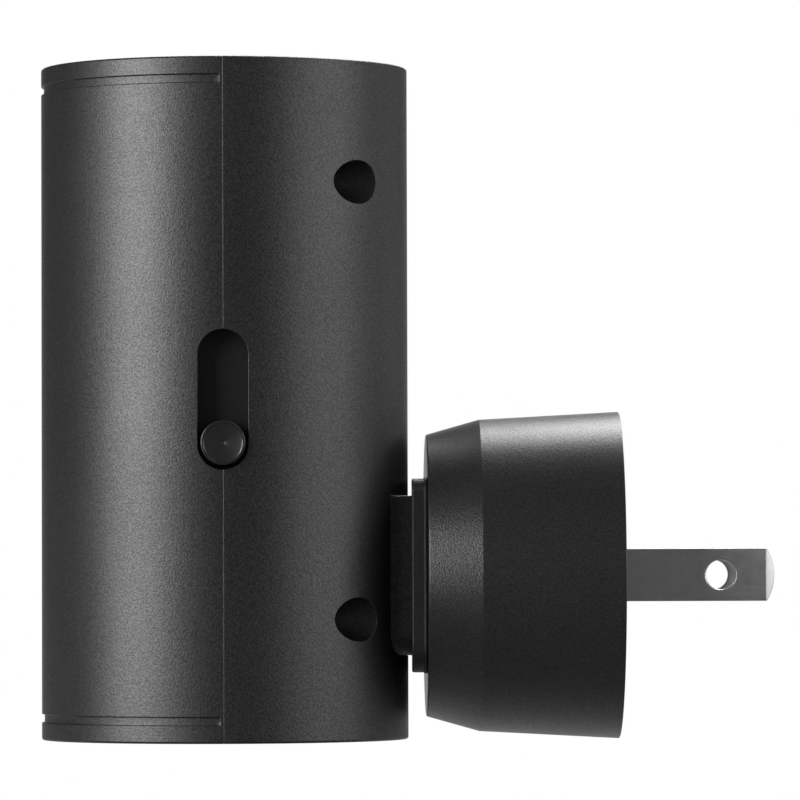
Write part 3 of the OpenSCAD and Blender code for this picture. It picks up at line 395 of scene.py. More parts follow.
plastic("lead_sheath", (0.02, 0.02, 0.022), roughness=0.4, bump=0.00001)
plastic("dimmer_case", (0.55, 0.56, 0.57), contrast=0.05, bump=0.00001)
metal("screw_steel", (0.5, 0.51, 0.52), 0.32)
metal("blade_plating", (0.585, 0.585, 0.583), 0.4)
metal("contact_brass", (0.72, 0.55, 0.26), 0.25)
metal("copper", (0.65, 0.3, 0.13), 0.35)
plastic("ferrite", (0.04, 0.04, 0.045), contrast=0.25, roughness=0.6)


def grind_with_highlight(material, shade, roughness):
    """Changes a finish from one place along X on: rougher, as where a grinder has thinned the metal, and
    lighter in colour, which is a painted highlight on the ground tip.
    """
    tree = material.node_tree
    shader = tree.nodes["Principled BSDF"]
    colour, rough = shader.inputs["Base Color"], shader.inputs["Roughness"]
    along = axis_of(tree, "Object", "X")
    ground_and_highlight = ranged(tree, along, GROUND_HIGHLIGHT_FROM, GROUND_HIGHLIGHT_FROM + GROUND_HIGHLIGHT_OVER, 0.0, 1.0)
    wire(tree, mixed(tree, "Color", ground_and_highlight, colour.links[0].from_socket, (*shade, 1)), colour)
    extra = math_node(tree, "MULTIPLY", ground_and_highlight, roughness)
    wire(tree, math_node(tree, "ADD", rough.links[0].from_socket, extra), rough)


# The tip's lighter grey is a painted highlight; its added roughness is the real ground finish.
grind_with_highlight(finishes["blade_plating"], (0.7, 0.7, 0.7), 0.12)
slot_of = {part["node"]: part["material_slot"] for part in frame["record"]["subparts"]}
for node_name, node_object in frame["nodes"].items():
    node_object.data.materials.clear()
    node_object.data.materials.append(finishes[slot_of[node_name]])
print("finishes:", len(finishes), "on", len(slot_of), "solids")

# %% [markdown]
# The moulded parts are built from their own sizes. A small collector takes points in millimetres and
# faces between them, and counts a point that comes twice as one point. That closes every seam, so a
# piece is one watertight skin. All faces are then turned outwards together.

# %% Mesh tools


class Skin:
    """Collects faces between points that are given in millimetres."""

    def __init__(self):
        self.points, self.faces, self.known = [], [], {}

    def point(self, place):
        key = tuple(round(c, 5) for c in place)
        if key not in self.known:
            self.known[key] = len(self.points)
            self.points.append(tuple(place))
        return self.known[key]

    def face(self, *places):
        ids = [self.point(p) for p in places]
        ids = [a for a, b in zip(ids, ids[1:] + ids[:1]) if a != b]
        if len(set(ids)) > 2:
            self.faces.append(ids)

    def strip(self, one, two):
        """Faces between two rows of points."""
        for a, b, c, d in zip(one, one[1:], two[1:], two):
            self.face(a, b, c, d)

    def fan(self, ring, centre):
        """Closes a ring of points, whose last is its first, onto one centre."""
        for a, b in zip(ring, ring[1:]):
            self.face(a, b, centre)


def link_mesh(name, points, faces, edges=()):
    mesh = bpy.data.meshes.new(name)
    mesh.from_pydata([tuple(c * MM for c in p) for p in points], list(edges), faces)
    return show(bpy.data.objects.new(name, mesh))


def close_up(piece):
    """Merges doubled points, turns every face outwards, shades smooth, and says what it found."""
    work = bmesh.new()
    work.from_mesh(piece.data)
    bmesh.ops.remove_doubles(work, verts=work.verts, dist=2e-8)
    bmesh.ops.recalc_face_normals(work, faces=work.faces)
    gaps = sum(len(edge.link_faces) != 2 for edge in work.edges)
    for facet in work.faces:
        facet.smooth = True
    work.to_mesh(piece.data)
    work.free()
    print(piece.name, "faces:", len(piece.data.polygons), "open edges:", gaps)
    return piece


def soften(piece, width=0.12, segments=2, angle=35):
    """Rounds the edges that are sharper than angle, and keeps the large faces' own shading."""
    if width:
        bevel = piece.modifiers.new("rounded_edges", "BEVEL")
        bevel.width = width * MM
        bevel.segments = segments
        bevel.limit_method = "ANGLE"
        bevel.angle_limit = math.radians(angle)
        bevel.use_clamp_overlap = False
        bevel.miter_outer = "MITER_ARC"
    piece.modifiers.new("even_shading", "WEIGHTED_NORMAL")
    return piece


def kept(piece):
    """Keeps what a piece's modifiers make of it as its plain mesh."""
    shown = piece.evaluated_get(bpy.context.evaluated_depsgraph_get())
    mesh = bpy.data.meshes.new_from_object(shown)
    piece.modifiers.clear()
    piece.data = mesh
    return piece


def settle(piece, body, slot_name, *nodes):
    """Gives a piece its finish, lets it ride on a body, and hides the solids that it stands for."""
    piece.data.materials.clear()
    piece.data.materials.append(finishes[slot_name])
    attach(piece, body)
    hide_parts(*nodes)


def spread(stops, counts):
    """Numbers from stop to stop, with so many even steps between each two."""
    found = [stops[0]]
    for low, high, count in zip(stops, stops[1:], counts):
        found += [low + (high - low) * step / count for step in range(1, count)] + [high]
    return found


print("mesh tools are ready")

# %% [markdown]
# The cylinder is two half shells that meet on an upright plane. Each is a grid of faces on the outer
# and the inner wall, and where a hole comes the grid gives way to rings of faces that run from the
# hole's outline to the grid. So the holes are real, and the faces stay even enough to shade well.

# %% Sizes of the shells, in millimetres
AXIS_X, SHELL_R, SHELL_IN_R = -47.84, 22.25, 20.45
SHELL_LOW, SHELL_TOP = -19.8, 61.6
END_ROUND, LIP_R, LIP_H = 0.3, 19.0, 1.0
GROOVE_IN, GROOVE_W, GROOVE_D = 2.15, 1.0, 0.33
GROOVES = (SHELL_LOW + GROOVE_IN, SHELL_TOP - GROOVE_IN - GROOVE_W)
# A groove stops this many degrees before the seam.
GROOVE_STOP = math.degrees(math.asin(0.37 / SHELL_R))
SLOT_R, SLOT_LOW, SLOT_TOP = 3.0, 12.6, 29.2
WELL_R, POST_R, WELL_Y, WELL_ZS = 2.6, 3.8, 15.28, (-5.2, 47.0)
WELL_FLOOR, WELL_BACK = -44.64, -45.84
# Half the width, the bottom, the top, and the radius of the two lower corners.
OPENING = (9.8, -9.7, 9.7, 2.85)
# Fields of the grid that give way to a hole. The slot's has its bottom, its top and its width in
# degrees, a well's has its two angles and half its height, and the opening's has half of each.
SLOT_FIELD = (10.1, 31.7, 14.3)
WELL_FIELD = (31.0, 72.5, 3.9)
OPENING_FIELD = (31.0, 11.3)
# Where the rings of faces lie, from a hole's outline at 0 to its field's border at 1.
RINGS = (0, 0.25, 0.6, 1)
# How far a face of the grid may lie inside the true wall.
WALL_SAG = 0.006
TINY = 1e-6


def around(angle, z, radius):
    """A point on an upright cylinder on the shells' axis. Angle 0 is the wall's side."""
    a = math.radians(angle)
    return (AXIS_X + radius * math.cos(a), radius * math.sin(a), z)


def wall_side(radius):
    """Puts flat (y, z) places on the wall side of the cylinder."""
    return lambda y, z: (AXIS_X + math.sqrt(radius * radius - y * y), y, z)


def slot_side(radius):
    """Puts flat (x, z) places, x from the axis, on the side that has the slot."""
    return lambda x, z: (AXIS_X + x, -math.sqrt(radius * radius - x * x), z)


def column(angle, heights, radius):
    """A row of points up the cylinder."""
    return [around(angle, z, radius) for z in heights]


def ring_patch(skin, border, outline, put):
    """Faces from a hole's outline to the border of its field. Returns the rings, the hole's first."""
    pairs = list(zip(outline, border))
    rings = [
        [put(o[0] + (b[0] - o[0]) * share, o[1] + (b[1] - o[1]) * share) for o, b in pairs]
        for share in RINGS
    ]
    for one, two in zip(rings, rings[1:]):
        skin.strip(one, two)
    return rings


def arc_points(cx, cz, radius, start, end, steps):
    """Points on an arc in degrees, without its first one."""
    turns = [math.radians(start + (end - start) * k / steps) for k in range(1, steps + 1)]
    return [(cx + radius * math.cos(t), cz + radius * math.sin(t)) for t in turns]


def line_points(start, end, steps):
    """Points on a line, without its first one."""
    return [tuple(a + (b - a) * k / steps for a, b in zip(start, end)) for k in range(1, steps + 1)]


print("shell height:", round(SHELL_TOP - SHELL_LOW, 2), "mm, width:", 2 * SHELL_R, "mm")

# %% [markdown]
# Three outlines are cut out of the shells. The slot for the knob has round ends and lies half in each
# shell. The wells are round and run straight in from the wall's side. The opening for the saddle is
# square above and rounded below, so that the pad goes in only one way up.

# %% Outlines of the slot, the wells and the saddle's opening


def slot_outline(side):
    """Half of the slot, from its top on the seam to its bottom on the seam."""
    top, low = SLOT_TOP - SLOT_R, SLOT_LOW + SLOT_R
    half = [(0, SLOT_TOP)]
    half += arc_points(0, top, SLOT_R, 90, 45, 7) + arc_points(0, top, SLOT_R, 45, 0, 5)
    half += line_points((SLOT_R, top), (SLOT_R, low), 7)
    half += arc_points(0, low, SLOT_R, 0, -45, 5) + arc_points(0, low, SLOT_R, -45, -90, 7)
    return [(side * x, z) for x, z in half]


def round_outline(cy, cz, radius, columns, rows):
    """A circle from its lower left, with as many steps a side as its field has cells."""
    ring = arc_points(cy, cz, radius, 135, 225, 1)
    for start, steps in ((225, columns), (315, rows), (45, columns), (135, rows)):
        ring += arc_points(cy, cz, radius, start, start + 90, steps)
    return ring


def opening_outline(columns, rows, corner=5):
    """The saddle's opening from its lower left: round corners below and square ones above."""
    y, low, top, r = OPENING
    start = arc_points(-y + r, low + r, r, 180, 225, 1)[0]
    ring = [start] + arc_points(-y + r, low + r, r, 225, 270, corner)
    ring += line_points((-y + r, low), (y - r, low), columns - 2 * corner)
    ring += arc_points(y - r, low + r, r, 270, 315, corner)
    ring += arc_points(y - r, low + r, r, 315, 360, corner)
    ring += line_points((y, low + r), (y, top), rows - corner)
    ring += line_points((y, top), (-y, top), columns)
    ring += line_points((-y, top), (-y, low + r), rows - corner)
    return ring + arc_points(-y + r, low + r, r, 180, 225, corner)


def field_border(angles, heights, radius):
    """The closed border of a field on the wall side, as flat (y, z) places from its lower left."""
    ys = [radius * math.sin(math.radians(a)) for a in angles]
    low, top = heights[0], heights[-1]
    ring = [(y, low) for y in ys] + [(ys[-1], z) for z in heights[1:]]
    ring += [(y, top) for y in ys[-2::-1]] + [(ys[0], z) for z in heights[-2::-1]]
    return ring


print("slot outline points:", len(slot_outline(1)))

# %% [markdown]
# One function makes a whole half. It fills both walls with faces except in the fields of the holes,
# sinks the grooves, folds the rim and its lip over at both ends, and closes the two seam planes. The
# slot is added on its own side.

# %% Build a half shell


def within(lines, low, high):
    return [v for v in lines if low - TINY <= v <= high + TINY]


def groove_cell(skin, a, b, low, high, ends):
    """A cell of a sunken groove between two angles and two heights, with end walls where asked."""
    places = ((a, low), (b, low), (b, high), (a, high))
    top = [around(t, z, SHELL_R) for t, z in places]
    deep = [around(t, z, SHELL_R - GROOVE_D) for t, z in places]
    skin.face(*deep)
    for k in (0, 2, *ends):
        skin.face(top[k], top[(k + 1) % 4], deep[(k + 1) % 4], deep[k])


def rim_profile(top):
    """From the outer wall over the rim and its lip to the inner wall, as (radius, z)."""
    end, way = (SHELL_TOP, -1) if top else (SHELL_LOW, 1)
    bend = [math.radians(22.5 * k) for k in range(5)]
    over = [
        (SHELL_R - END_ROUND * (1 - math.cos(t)), end + way * END_ROUND * (1 - math.sin(t)))
        for t in bend
    ]
    under = end + way * LIP_H
    return over + [(LIP_R + 1, end), (LIP_R, end), (LIP_R, under), (SHELL_IN_R, under)]


def rim(angle, top):
    return [around(angle, z, r) for r, z in rim_profile(top)]


def half_shell(angles, outer_z, fields, side):
    """Both walls, the rims and the seam faces of a half, with the half slot. side is 1 by the wall."""
    skin = Skin()
    inner_z = [SHELL_LOW + LIP_H] + outer_z[1:-1] + [SHELL_TOP - LIP_H]
    cells = [(outer_z[k:k + 2], inner_z[k:k + 2]) for k in range(len(outer_z) - 1)]
    low, high, width = SLOT_FIELD
    if side > 0:
        seam = angles[0]
        slot_cols = within(angles, seam, seam + width)
    else:
        seam = angles[-1]
        slot_cols = within(angles, seam - width, seam)[::-1]
    fields = fields + [(min(slot_cols), max(slot_cols), low, high)]
    grooves = GROOVES if side < 0 else ()
    groove_from, groove_to = angles[0] + GROOVE_STOP, angles[-1] - GROOVE_STOP
    for a, b in zip(angles, angles[1:]):
        mid_a = (a + b) / 2
        for outer, inner in cells:
            mid_z = sum(outer) / 2
            if any(f[0] < mid_a < f[1] and f[2] < mid_z < f[3] for f in fields):
                continue
            sunk = any(start < mid_z < start + GROOVE_W for start in grooves)
            if sunk and groove_from < mid_a < groove_to:
                ends = [3] * (a == angles[1]) + [1] * (b == angles[-2])
                groove_cell(skin, a, b, *outer, ends)
            else:
                skin.strip(column(a, outer, SHELL_R), column(b, outer, SHELL_R))
            skin.strip(column(a, inner, SHELL_IN_R), column(b, inner, SHELL_IN_R))
        for top in (True, False):
            skin.strip(rim(a, top), rim(b, top))
    for angle in (angles[0], angles[-1]):
        for top in (True, False):
            skin.face(*rim(angle, top))
        for outer, inner in cells:
            if angle == seam and low < sum(outer) / 2 < high:
                continue
            skin.strip(column(angle, outer, SHELL_R), column(angle, inner, SHELL_IN_R))
    walls = []
    down = within(outer_z, low, high)[::-1]
    for radius in (SHELL_R, SHELL_IN_R):
        across = [radius * math.cos(math.radians(a)) for a in slot_cols]
        border = [(x, high) for x in across] + [(across[-1], z) for z in down[1:]]
        border += [(x, low) for x in across[-2::-1]]
        walls.append(ring_patch(skin, border, slot_outline(side), slot_side(radius)))
    skin.strip(walls[0][0], walls[1][0])
    for end in (0, -1):
        skin.strip([ring[end] for ring in walls[0]], [ring[end] for ring in walls[1]])
    return skin


def true_walls(piece):
    """Shades both walls of a shell as the exact cylinders that their faces stand for."""
    mesh = kept(piece).data
    normals = [corner.vector.copy() for corner in mesh.corner_normals]
    for facet in mesh.polygons:
        for k in facet.loop_indices:
            away = mesh.vertices[mesh.loops[k].vertex_index].co - Vector((AXIS_X * MM, 0, 0))
            away.z = 0
            for radius, way in ((SHELL_R, 1), (SHELL_IN_R, -1)):
                on_wall = abs(away.length - radius * MM) < WALL_SAG * MM
                if on_wall and way * away.normalized().dot(facet.normal) > 0.5:
                    normals[k] = away.normalized() * way
    mesh.normals_split_custom_set(normals)
    return piece


front_angles = spread([90, 90 + GROOVE_STOP, 255.7, 270 - GROOVE_STOP, 270], [1, 82, 6, 1])
front_z = spread(
    [SHELL_LOW + END_ROUND, GROOVES[0], GROOVES[0] + GROOVE_W, *SLOT_FIELD[:2],
     GROOVES[1], GROOVES[1] + GROOVE_W, SHELL_TOP - END_ROUND],
    [2, 1, 12, 17, 12, 1, 2],
)
front = half_shell(front_angles, front_z, [], -1)
front_half = close_up(link_mesh("front_half", front.points, front.faces))
settle(true_walls(soften(front_half, 0.08)), "lamp", "shell_black", "front_shell")

# %% [markdown]
# The back half has the four screw wells and the saddle's opening as well. A well is a deep round
# pocket with a closed floor. Inside the shell its wall is a post that stands on the other half.

# %% Back half with its wells and its opening
back_angles = spread([-90, -75.7, -72.5, -31, 31, 72.5, 90], [7, 2, 20, 30, 20, 9])
back_z = spread(
    [SHELL_LOW + END_ROUND, -11.3, -9.1, -1.3, 10.1, 11.3, 31.7, 43.1, 50.9, SHELL_TOP - END_ROUND],
    [4, 2, 12, 9, 1, 16, 6, 12, 5],
)
well_fields = []
for way in (-1, 1):
    for well_z in WELL_ZS:
        near, far = sorted(way * angle for angle in WELL_FIELD[:2])
        well_fields.append((near, far, well_z - WELL_FIELD[2], well_z + WELL_FIELD[2]))
opening_field = (-OPENING_FIELD[0], OPENING_FIELD[0], -OPENING_FIELD[1], OPENING_FIELD[1])
back = half_shell(back_angles, back_z, well_fields + [opening_field], 1)

for low_a, high_a, low_z, high_z in well_fields:
    cols, rows = within(back_angles, low_a, high_a), within(back_z, low_z, high_z)
    centre = (math.copysign(WELL_Y, low_a), (low_z + high_z) / 2)
    for radius, well_r, floor_x in (
        (SHELL_R, WELL_R, WELL_FLOOR), (SHELL_IN_R, POST_R, WELL_BACK),
    ):
        ring = round_outline(*centre, well_r, len(cols) - 1, len(rows) - 1)
        mouth = ring_patch(back, field_border(cols, rows, radius), ring, wall_side(radius))[0]
        bottom = [(floor_x, y, z) for y, z in ring]
        back.strip(mouth, bottom)
        back.fan(bottom, (floor_x, *centre))

cols, rows = within(back_angles, *opening_field[:2]), within(back_z, *opening_field[2:])
edge = opening_outline(len(cols) - 1, len(rows) - 1)
mouths = [
    ring_patch(back, field_border(cols, rows, radius), edge, wall_side(radius))[0]
    for radius in (SHELL_R, SHELL_IN_R)
]
back.strip(*mouths)
back_half = close_up(link_mesh("back_half", back.points, back.faces))
settle(true_walls(soften(back_half, 0.08)), "lamp", "shell_black", "back_shell")

# %% [markdown]
# The saddle pad fills the opening and stands a little proud of the shell. It is one block with its
# outline drawn once and pushed through, and its edges are rounded by a fifth of a millimetre. It
# reaches into the plate that lies on it, so no gap shows between the two.

# %% Saddle pad
# Half the width, the bottom, the top, and the radius of the two lower corners.
PAD = (9.7, -9.6, 9.6, 2.75)
PAD_X = (-31.39, -24.95)


def pad_outline(steps=8):
    y, low, top, r = PAD
    ring = [(-y, low + r)] + arc_points(-y + r, low + r, r, 180, 270, steps)
    ring.append((y - r, low))
    ring += arc_points(y - r, low + r, r, 270, 360, steps)
    return ring + [(y, top), (-y, top)]


pad = Skin()
pad_ring = pad_outline()
for x in PAD_X:
    pad.face(*[(x, y, z) for y, z in pad_ring])
pad_ring.append(pad_ring[0])
pad.strip([(PAD_X[0], y, z) for y, z in pad_ring], [(PAD_X[1], y, z) for y, z in pad_ring])
saddle_pad = close_up(link_mesh("saddle_pad", pad.points, pad.faces))
settle(soften(saddle_pad, 0.2, 3), "lamp", "shell_black", "saddle_block")

# %% [markdown]
# The plug's case, the knob and the two lenses are turned shapes: one profile that goes round an
# axis. Geometry Nodes can do that for all of them. The profile is a row of edges, the tree sweeps it
# along a circle, merges the points that meet on the axis and sets the finish. The result is kept as
# a plain mesh.

# %% Geometry Nodes tree that turns a profile
START_R = 1.0


def node_tree_for_geometry(name, inputs):
    """A Geometry Nodes tree with a geometry input and output and named inputs: (label, kind, value)."""
    tree = bpy.data.node_groups.new(name, "GeometryNodeTree")
    tree.is_modifier = True
    tree.interface.new_socket("Geometry", in_out="INPUT", socket_type="NodeSocketGeometry")
    for label, kind, value in inputs:
        socket = tree.interface.new_socket(label, in_out="INPUT", socket_type="NodeSocket" + kind)
        if value is not None:
            socket.default_value = value
    tree.interface.new_socket("Geometry", in_out="OUTPUT", socket_type="NodeSocketGeometry")
    return tree, tree.nodes.new("NodeGroupInput"), tree.nodes.new("NodeGroupOutput")


def finish_tree(tree, geometry, asked, out):
    """Ends a tree in Realize Instances and Set Material."""
    real = tree.nodes.new("GeometryNodeRealizeInstances")
    painted = tree.nodes.new("GeometryNodeSetMaterial")
    wire(tree, geometry, real.inputs[0])
    wire(tree, real.outputs[0], painted.inputs["Geometry"])
    wire(tree, asked.outputs["Material"], painted.inputs["Material"])
    wire(tree, painted.outputs[0], out.inputs[0])


turning, turning_in, turning_out = node_tree_for_geometry(
    "turned_part",
    [("Steps", "Int", 96), ("Start radius", "Float", START_R * MM), ("Material", "Material", None)],
)
as_curve = turning.nodes.new("GeometryNodeMeshToCurve")
path = turning.nodes.new("GeometryNodeCurvePrimitiveCircle")
sweep = turning.nodes.new("GeometryNodeCurveToMesh")
merge = turning.nodes.new("GeometryNodeMergeByDistance")
merge.inputs["Distance"].default_value = 1e-6
wire(turning, turning_in.outputs["Geometry"], as_curve.inputs["Mesh"])
wire(turning, turning_in.outputs["Steps"], path.inputs["Resolution"])
wire(turning, turning_in.outputs["Start radius"], path.inputs["Radius"])
wire(turning, path.outputs["Curve"], sweep.inputs["Curve"])
wire(turning, as_curve.outputs["Curve"], sweep.inputs["Profile Curve"])
wire(turning, sweep.outputs["Mesh"], merge.inputs["Geometry"])
finish_tree(turning, merge.outputs["Geometry"], turning_in, turning_out)
print("tree:", turning.name)

# %% [markdown]
# A tree's inputs are set by their identifiers before Blender first works the object out. Then the
# result is copied into a plain mesh, the modifier goes, and the mesh is moved to its own axis.

# %% Turned parts
TO_WALL = Matrix(((0, 0, 1), (1, 0, 0), (0, 1, 0)))
TO_CAMERA = Matrix(((1, 0, 0), (0, 0, -1), (0, 1, 0)))
UPRIGHT = Matrix.Identity(3)


def grown(piece, tree, values, direction, place):
    """Runs a tree on a piece with named values, keeps the mesh and moves it to its place in mm."""
    items = [item for item in tree.interface.items_tree if item.item_type == "SOCKET"]
    named = {item.name: item.identifier for item in items if item.in_out == "INPUT"}
    modifier = piece.modifiers.new(tree.name, "NODES")
    modifier.node_group = tree
    for label, value in values.items():
        modifier[named[label]] = value
    kept(piece).data.transform(Matrix.Translation(Vector(place) * MM) @ direction.to_4x4())
    return close_up(piece)


def rounded(corners, steps=5):
    """A closed profile from corners (radius, place along the axis, rounding), with its arcs filled in."""
    found = []
    for k, (r, s, bend) in enumerate(corners):
        here = Vector((r, s))
        if not bend:
            found.append(here)
            continue
        back = (Vector(corners[k - 1][:2]) - here).normalized()
        on = (Vector(corners[(k + 1) % len(corners)][:2]) - here).normalized()
        half = back.angle(on) / 2
        centre = here + (back + on).normalized() * bend / math.sin(half)
        first = here + back * bend / math.tan(half) - centre
        last = here + on * bend / math.tan(half) - centre
        for step in range(steps + 1):
            found.append(centre + first.lerp(last, step / steps).normalized() * bend)
    return found


def turned_part(name, corners, steps, direction, place, slot_name):
    """Turns a profile round an axis and puts the part at place, in millimetres."""
    profile = rounded(corners)
    points = [(p.x - START_R, -p.y, 0) for p in profile]
    open_ended = profile[0].x == 0 and profile[-1].x == 0
    count = len(points)
    edges = [(k, (k + 1) % count) for k in range(count - open_ended)]
    piece = link_mesh(name, points, [], edges)
    values = {"Steps": steps, "Start radius": START_R * MM, "Material": finishes[slot_name]}
    return soften(grown(piece, turning, values, direction, place), 0)


# A profile's corners are (radius, place along the axis, rounding), all in millimetres.
plug_profile = [
    (4.55, -23.44, 0.1), (17.1, -23.44, 0.25), (18.93, -17.0, 0.25), (19.85, 0, 0.12), (18.55, 0, 0.12),
    (18.55, -2.4, 0), (17.72, -2.4, 0), (16.93, -17.0, 0), (15.4, -21.44, 0), (7.0, -21.44, 0),
    (7.0, -19.5, 0), (4.55, -19.5, 0),
]
plug_case = turned_part("plug_case", plug_profile, 160, TO_WALL, (0, 0, 0), "plug_black")
settle(plug_case, "plug", "plug_black", "plug_housing")

knob_profile = [
    (0, 0, 0), (2.65, 0, 0.1), (2.65, 3.4, 0.13), (2.37, 3.4, 0.03), (2.35, 3.31, 0), (2.25, 3.281, 0),
    (2.05, 3.23, 0), (1.8, 3.175, 0), (1.4, 3.098, 0), (0.9, 3.01, 0), (0.42, 2.93, 0), (0.36, 2.915, 0),
    (0.06, 2.8, 0), (0, 2.79, 0),
]
knob_place = (AXIS_X, -19.5, 15.78)
slide_knob = turned_part("slide_knob", knob_profile, 72, TO_CAMERA, knob_place, "knob_black")
settle(slide_knob, "slider", "knob_black", "switch_knob")

LENS_R, LENS_T = 20.35, 1.6
LENSES = (("top_lens", 59.0, "top_diffuser"), ("bottom_lens", -18.8, "bottom_diffuser"))
for lens_name, low_z, node_name in LENSES:
    lens_profile = [(0, 0, 0), (LENS_R, 0, 0.2), (LENS_R, LENS_T, 0.2), (0, LENS_T, 0)]
    lens = turned_part(lens_name, lens_profile, 96, UPRIGHT, (AXIS_X, 0, low_z), "opal")
    settle(lens, "lamp", "opal", node_name)

# %% [markdown]
# A square plate with round corners lies between the pad and the plug, and its hollow spindle runs on
# into the plug. It could be an extruded block, but its rounded edges and the thin lip on the plug's
# side are one profile that follows a square outline, so it is made as a turned part would be: each
# point of the profile becomes a ring, which is the outline at that size or a circle at the spindle.
# The face by the pad leans by a degree, as a moulded face does so that it leaves its mould.

# %% Swivel plate with its spindle
PLATE_HALF, PLATE_LOW_R, PLATE_TOP_R = 11.65, 3.5, 1.6
PLATE_NEAR, PLATE_FAR, LIP_X, LIP_OUT = -25.37, -23.54, -23.82, 0.13
SPINDLE_R, WAY_R, SPINDLE_END = 4.5, 2.6, -14.84
DRAFT = math.tan(math.radians(1.1))


def plate_outline(grow, corner_steps=20, side_steps=6):
    """The closed outline as (y, z) places, moved outwards by grow, from the lower left arc on."""
    half = PLATE_HALF + grow
    low, top = PLATE_HALF - PLATE_LOW_R, PLATE_HALF - PLATE_TOP_R
    low_r, top_r = PLATE_LOW_R + grow, PLATE_TOP_R + grow
    ring = [(-half, -low)] + arc_points(-low, -low, low_r, 180, 270, corner_steps)
    ring += line_points((-low, -half), (low, -half), side_steps)
    ring += arc_points(low, -low, low_r, 270, 360, corner_steps)
    ring += line_points((half, -low), (half, top), side_steps)
    ring += arc_points(top, top, top_r, 0, 90, corner_steps)
    ring += line_points((top, half), (-top, half), side_steps)
    ring += arc_points(-top, top, top_r, 90, 180, corner_steps)
    return ring + line_points((-half, top), (-half, -low), side_steps)


def plate_ring(size, x):
    """The ring of a profile point: the outline of that half side, or a circle of that radius."""
    if size > PLATE_HALF / 2:
        ring = plate_outline(size - PLATE_HALF)
    else:
        turns = [math.atan2(z, y) for y, z in plate_outline(0)]
        ring = [(size * math.cos(t), size * math.sin(t)) for t in turns]
    lean = DRAFT if x < (PLATE_NEAR + PLATE_FAR) / 2 else 0
    return [(x + lean * (y + PLATE_HALF), y, z) for y, z in ring]


plate_profile = rounded([
    (WAY_R, PLATE_NEAR, 0), (PLATE_HALF, PLATE_NEAR, 0.25), (PLATE_HALF, LIP_X, 0.06),
    (PLATE_HALF + LIP_OUT, LIP_X, 0.1), (PLATE_HALF + LIP_OUT, PLATE_FAR, 0.06),
    (SPINDLE_R, PLATE_FAR, 0), (SPINDLE_R, SPINDLE_END, 0.2), (WAY_R, SPINDLE_END, 0),
])
plate = Skin()
plate_rings = [plate_ring(*corner) for corner in plate_profile]
for one, two in zip(plate_rings, plate_rings[1:] + plate_rings[:1]):
    plate.strip(one, two)
swivel_plate = close_up(link_mesh("swivel_plate", plate.points, plate.faces))
settle(soften(swivel_plate, 0), "lamp", "spindle_black", "swivel_spindle")

# %% [markdown]
# A blade is stamped from strip brass and plated. Its tip is crowned and thinned so that it finds the
# socket, and it has a cross hole. One flat sheet of faces with the hole in it is drawn first. It is
# then doubled to both sides, and walls join the two along every free edge.

# %% Blades
BLADE_Y, BLADE_HALF, BLADE_T = 6.35, 3.175, 1.52
TIP_T, TIP_X, TIP_R, THIN_FROM = 0.6, 18.5, 6.0, 17.45
TAIL_X, SHOULDER_FROM, SHOULDER_TO, SHOULDER_HALF = -9.2, -4.4, -2.4, 4.575
HOLE_X, HOLE_R, HOLE_ROUND = 12.0, 1.98, 0.2
HOLE_FIELD = (8.6, 15.4)
BLADE_ROWS = spread([-BLADE_HALF, -2.0, 2.0, BLADE_HALF], [2, 8, 2])


def half_thickness(x):
    share = min(1.0, max(0.0, (x - THIN_FROM) / (TIP_X - THIN_FROM)))
    return (BLADE_T + (TIP_T - BLADE_T) * share) / 2


def crowned(z):
    """Where the tip ends at a height."""
    return TIP_X - TIP_R + math.sqrt(TIP_R * TIP_R - z * z)


def blade_sheet():
    """The blade's outline with its tail, shoulders and hole, as flat (x, z) faces."""
    sheet = Skin()

    def grid(xs, zs):
        for a, b in zip(xs, xs[1:]):
            sheet.strip([(a, z) for z in zs], [(b, z) for z in zs])

    near, far = HOLE_FIELD
    grid([TAIL_X, SHOULDER_FROM], BLADE_ROWS[2:-2])
    grid([SHOULDER_FROM, SHOULDER_TO], BLADE_ROWS)
    grid([SHOULDER_FROM, SHOULDER_TO], [-SHOULDER_HALF, -BLADE_HALF])
    grid([SHOULDER_FROM, SHOULDER_TO], [BLADE_HALF, SHOULDER_HALF])
    grid(spread([SHOULDER_TO, 0, near], [1, 4]), BLADE_ROWS)
    xs = spread([near, far], [12])
    border = [(x, -BLADE_HALF) for x in xs] + [(far, z) for z in BLADE_ROWS[1:]]
    border += [(x, BLADE_HALF) for x in xs[-2::-1]] + [(near, z) for z in BLADE_ROWS[-2::-1]]
    ring_patch(sheet, border, round_outline(HOLE_X, 0, HOLE_R, 12, 12), lambda x, z: (x, z))
    grid([far, far + 1, THIN_FROM], BLADE_ROWS)
    sheet.strip([(THIN_FROM, z) for z in BLADE_ROWS], [(crowned(z), z) for z in BLADE_ROWS])
    return sheet


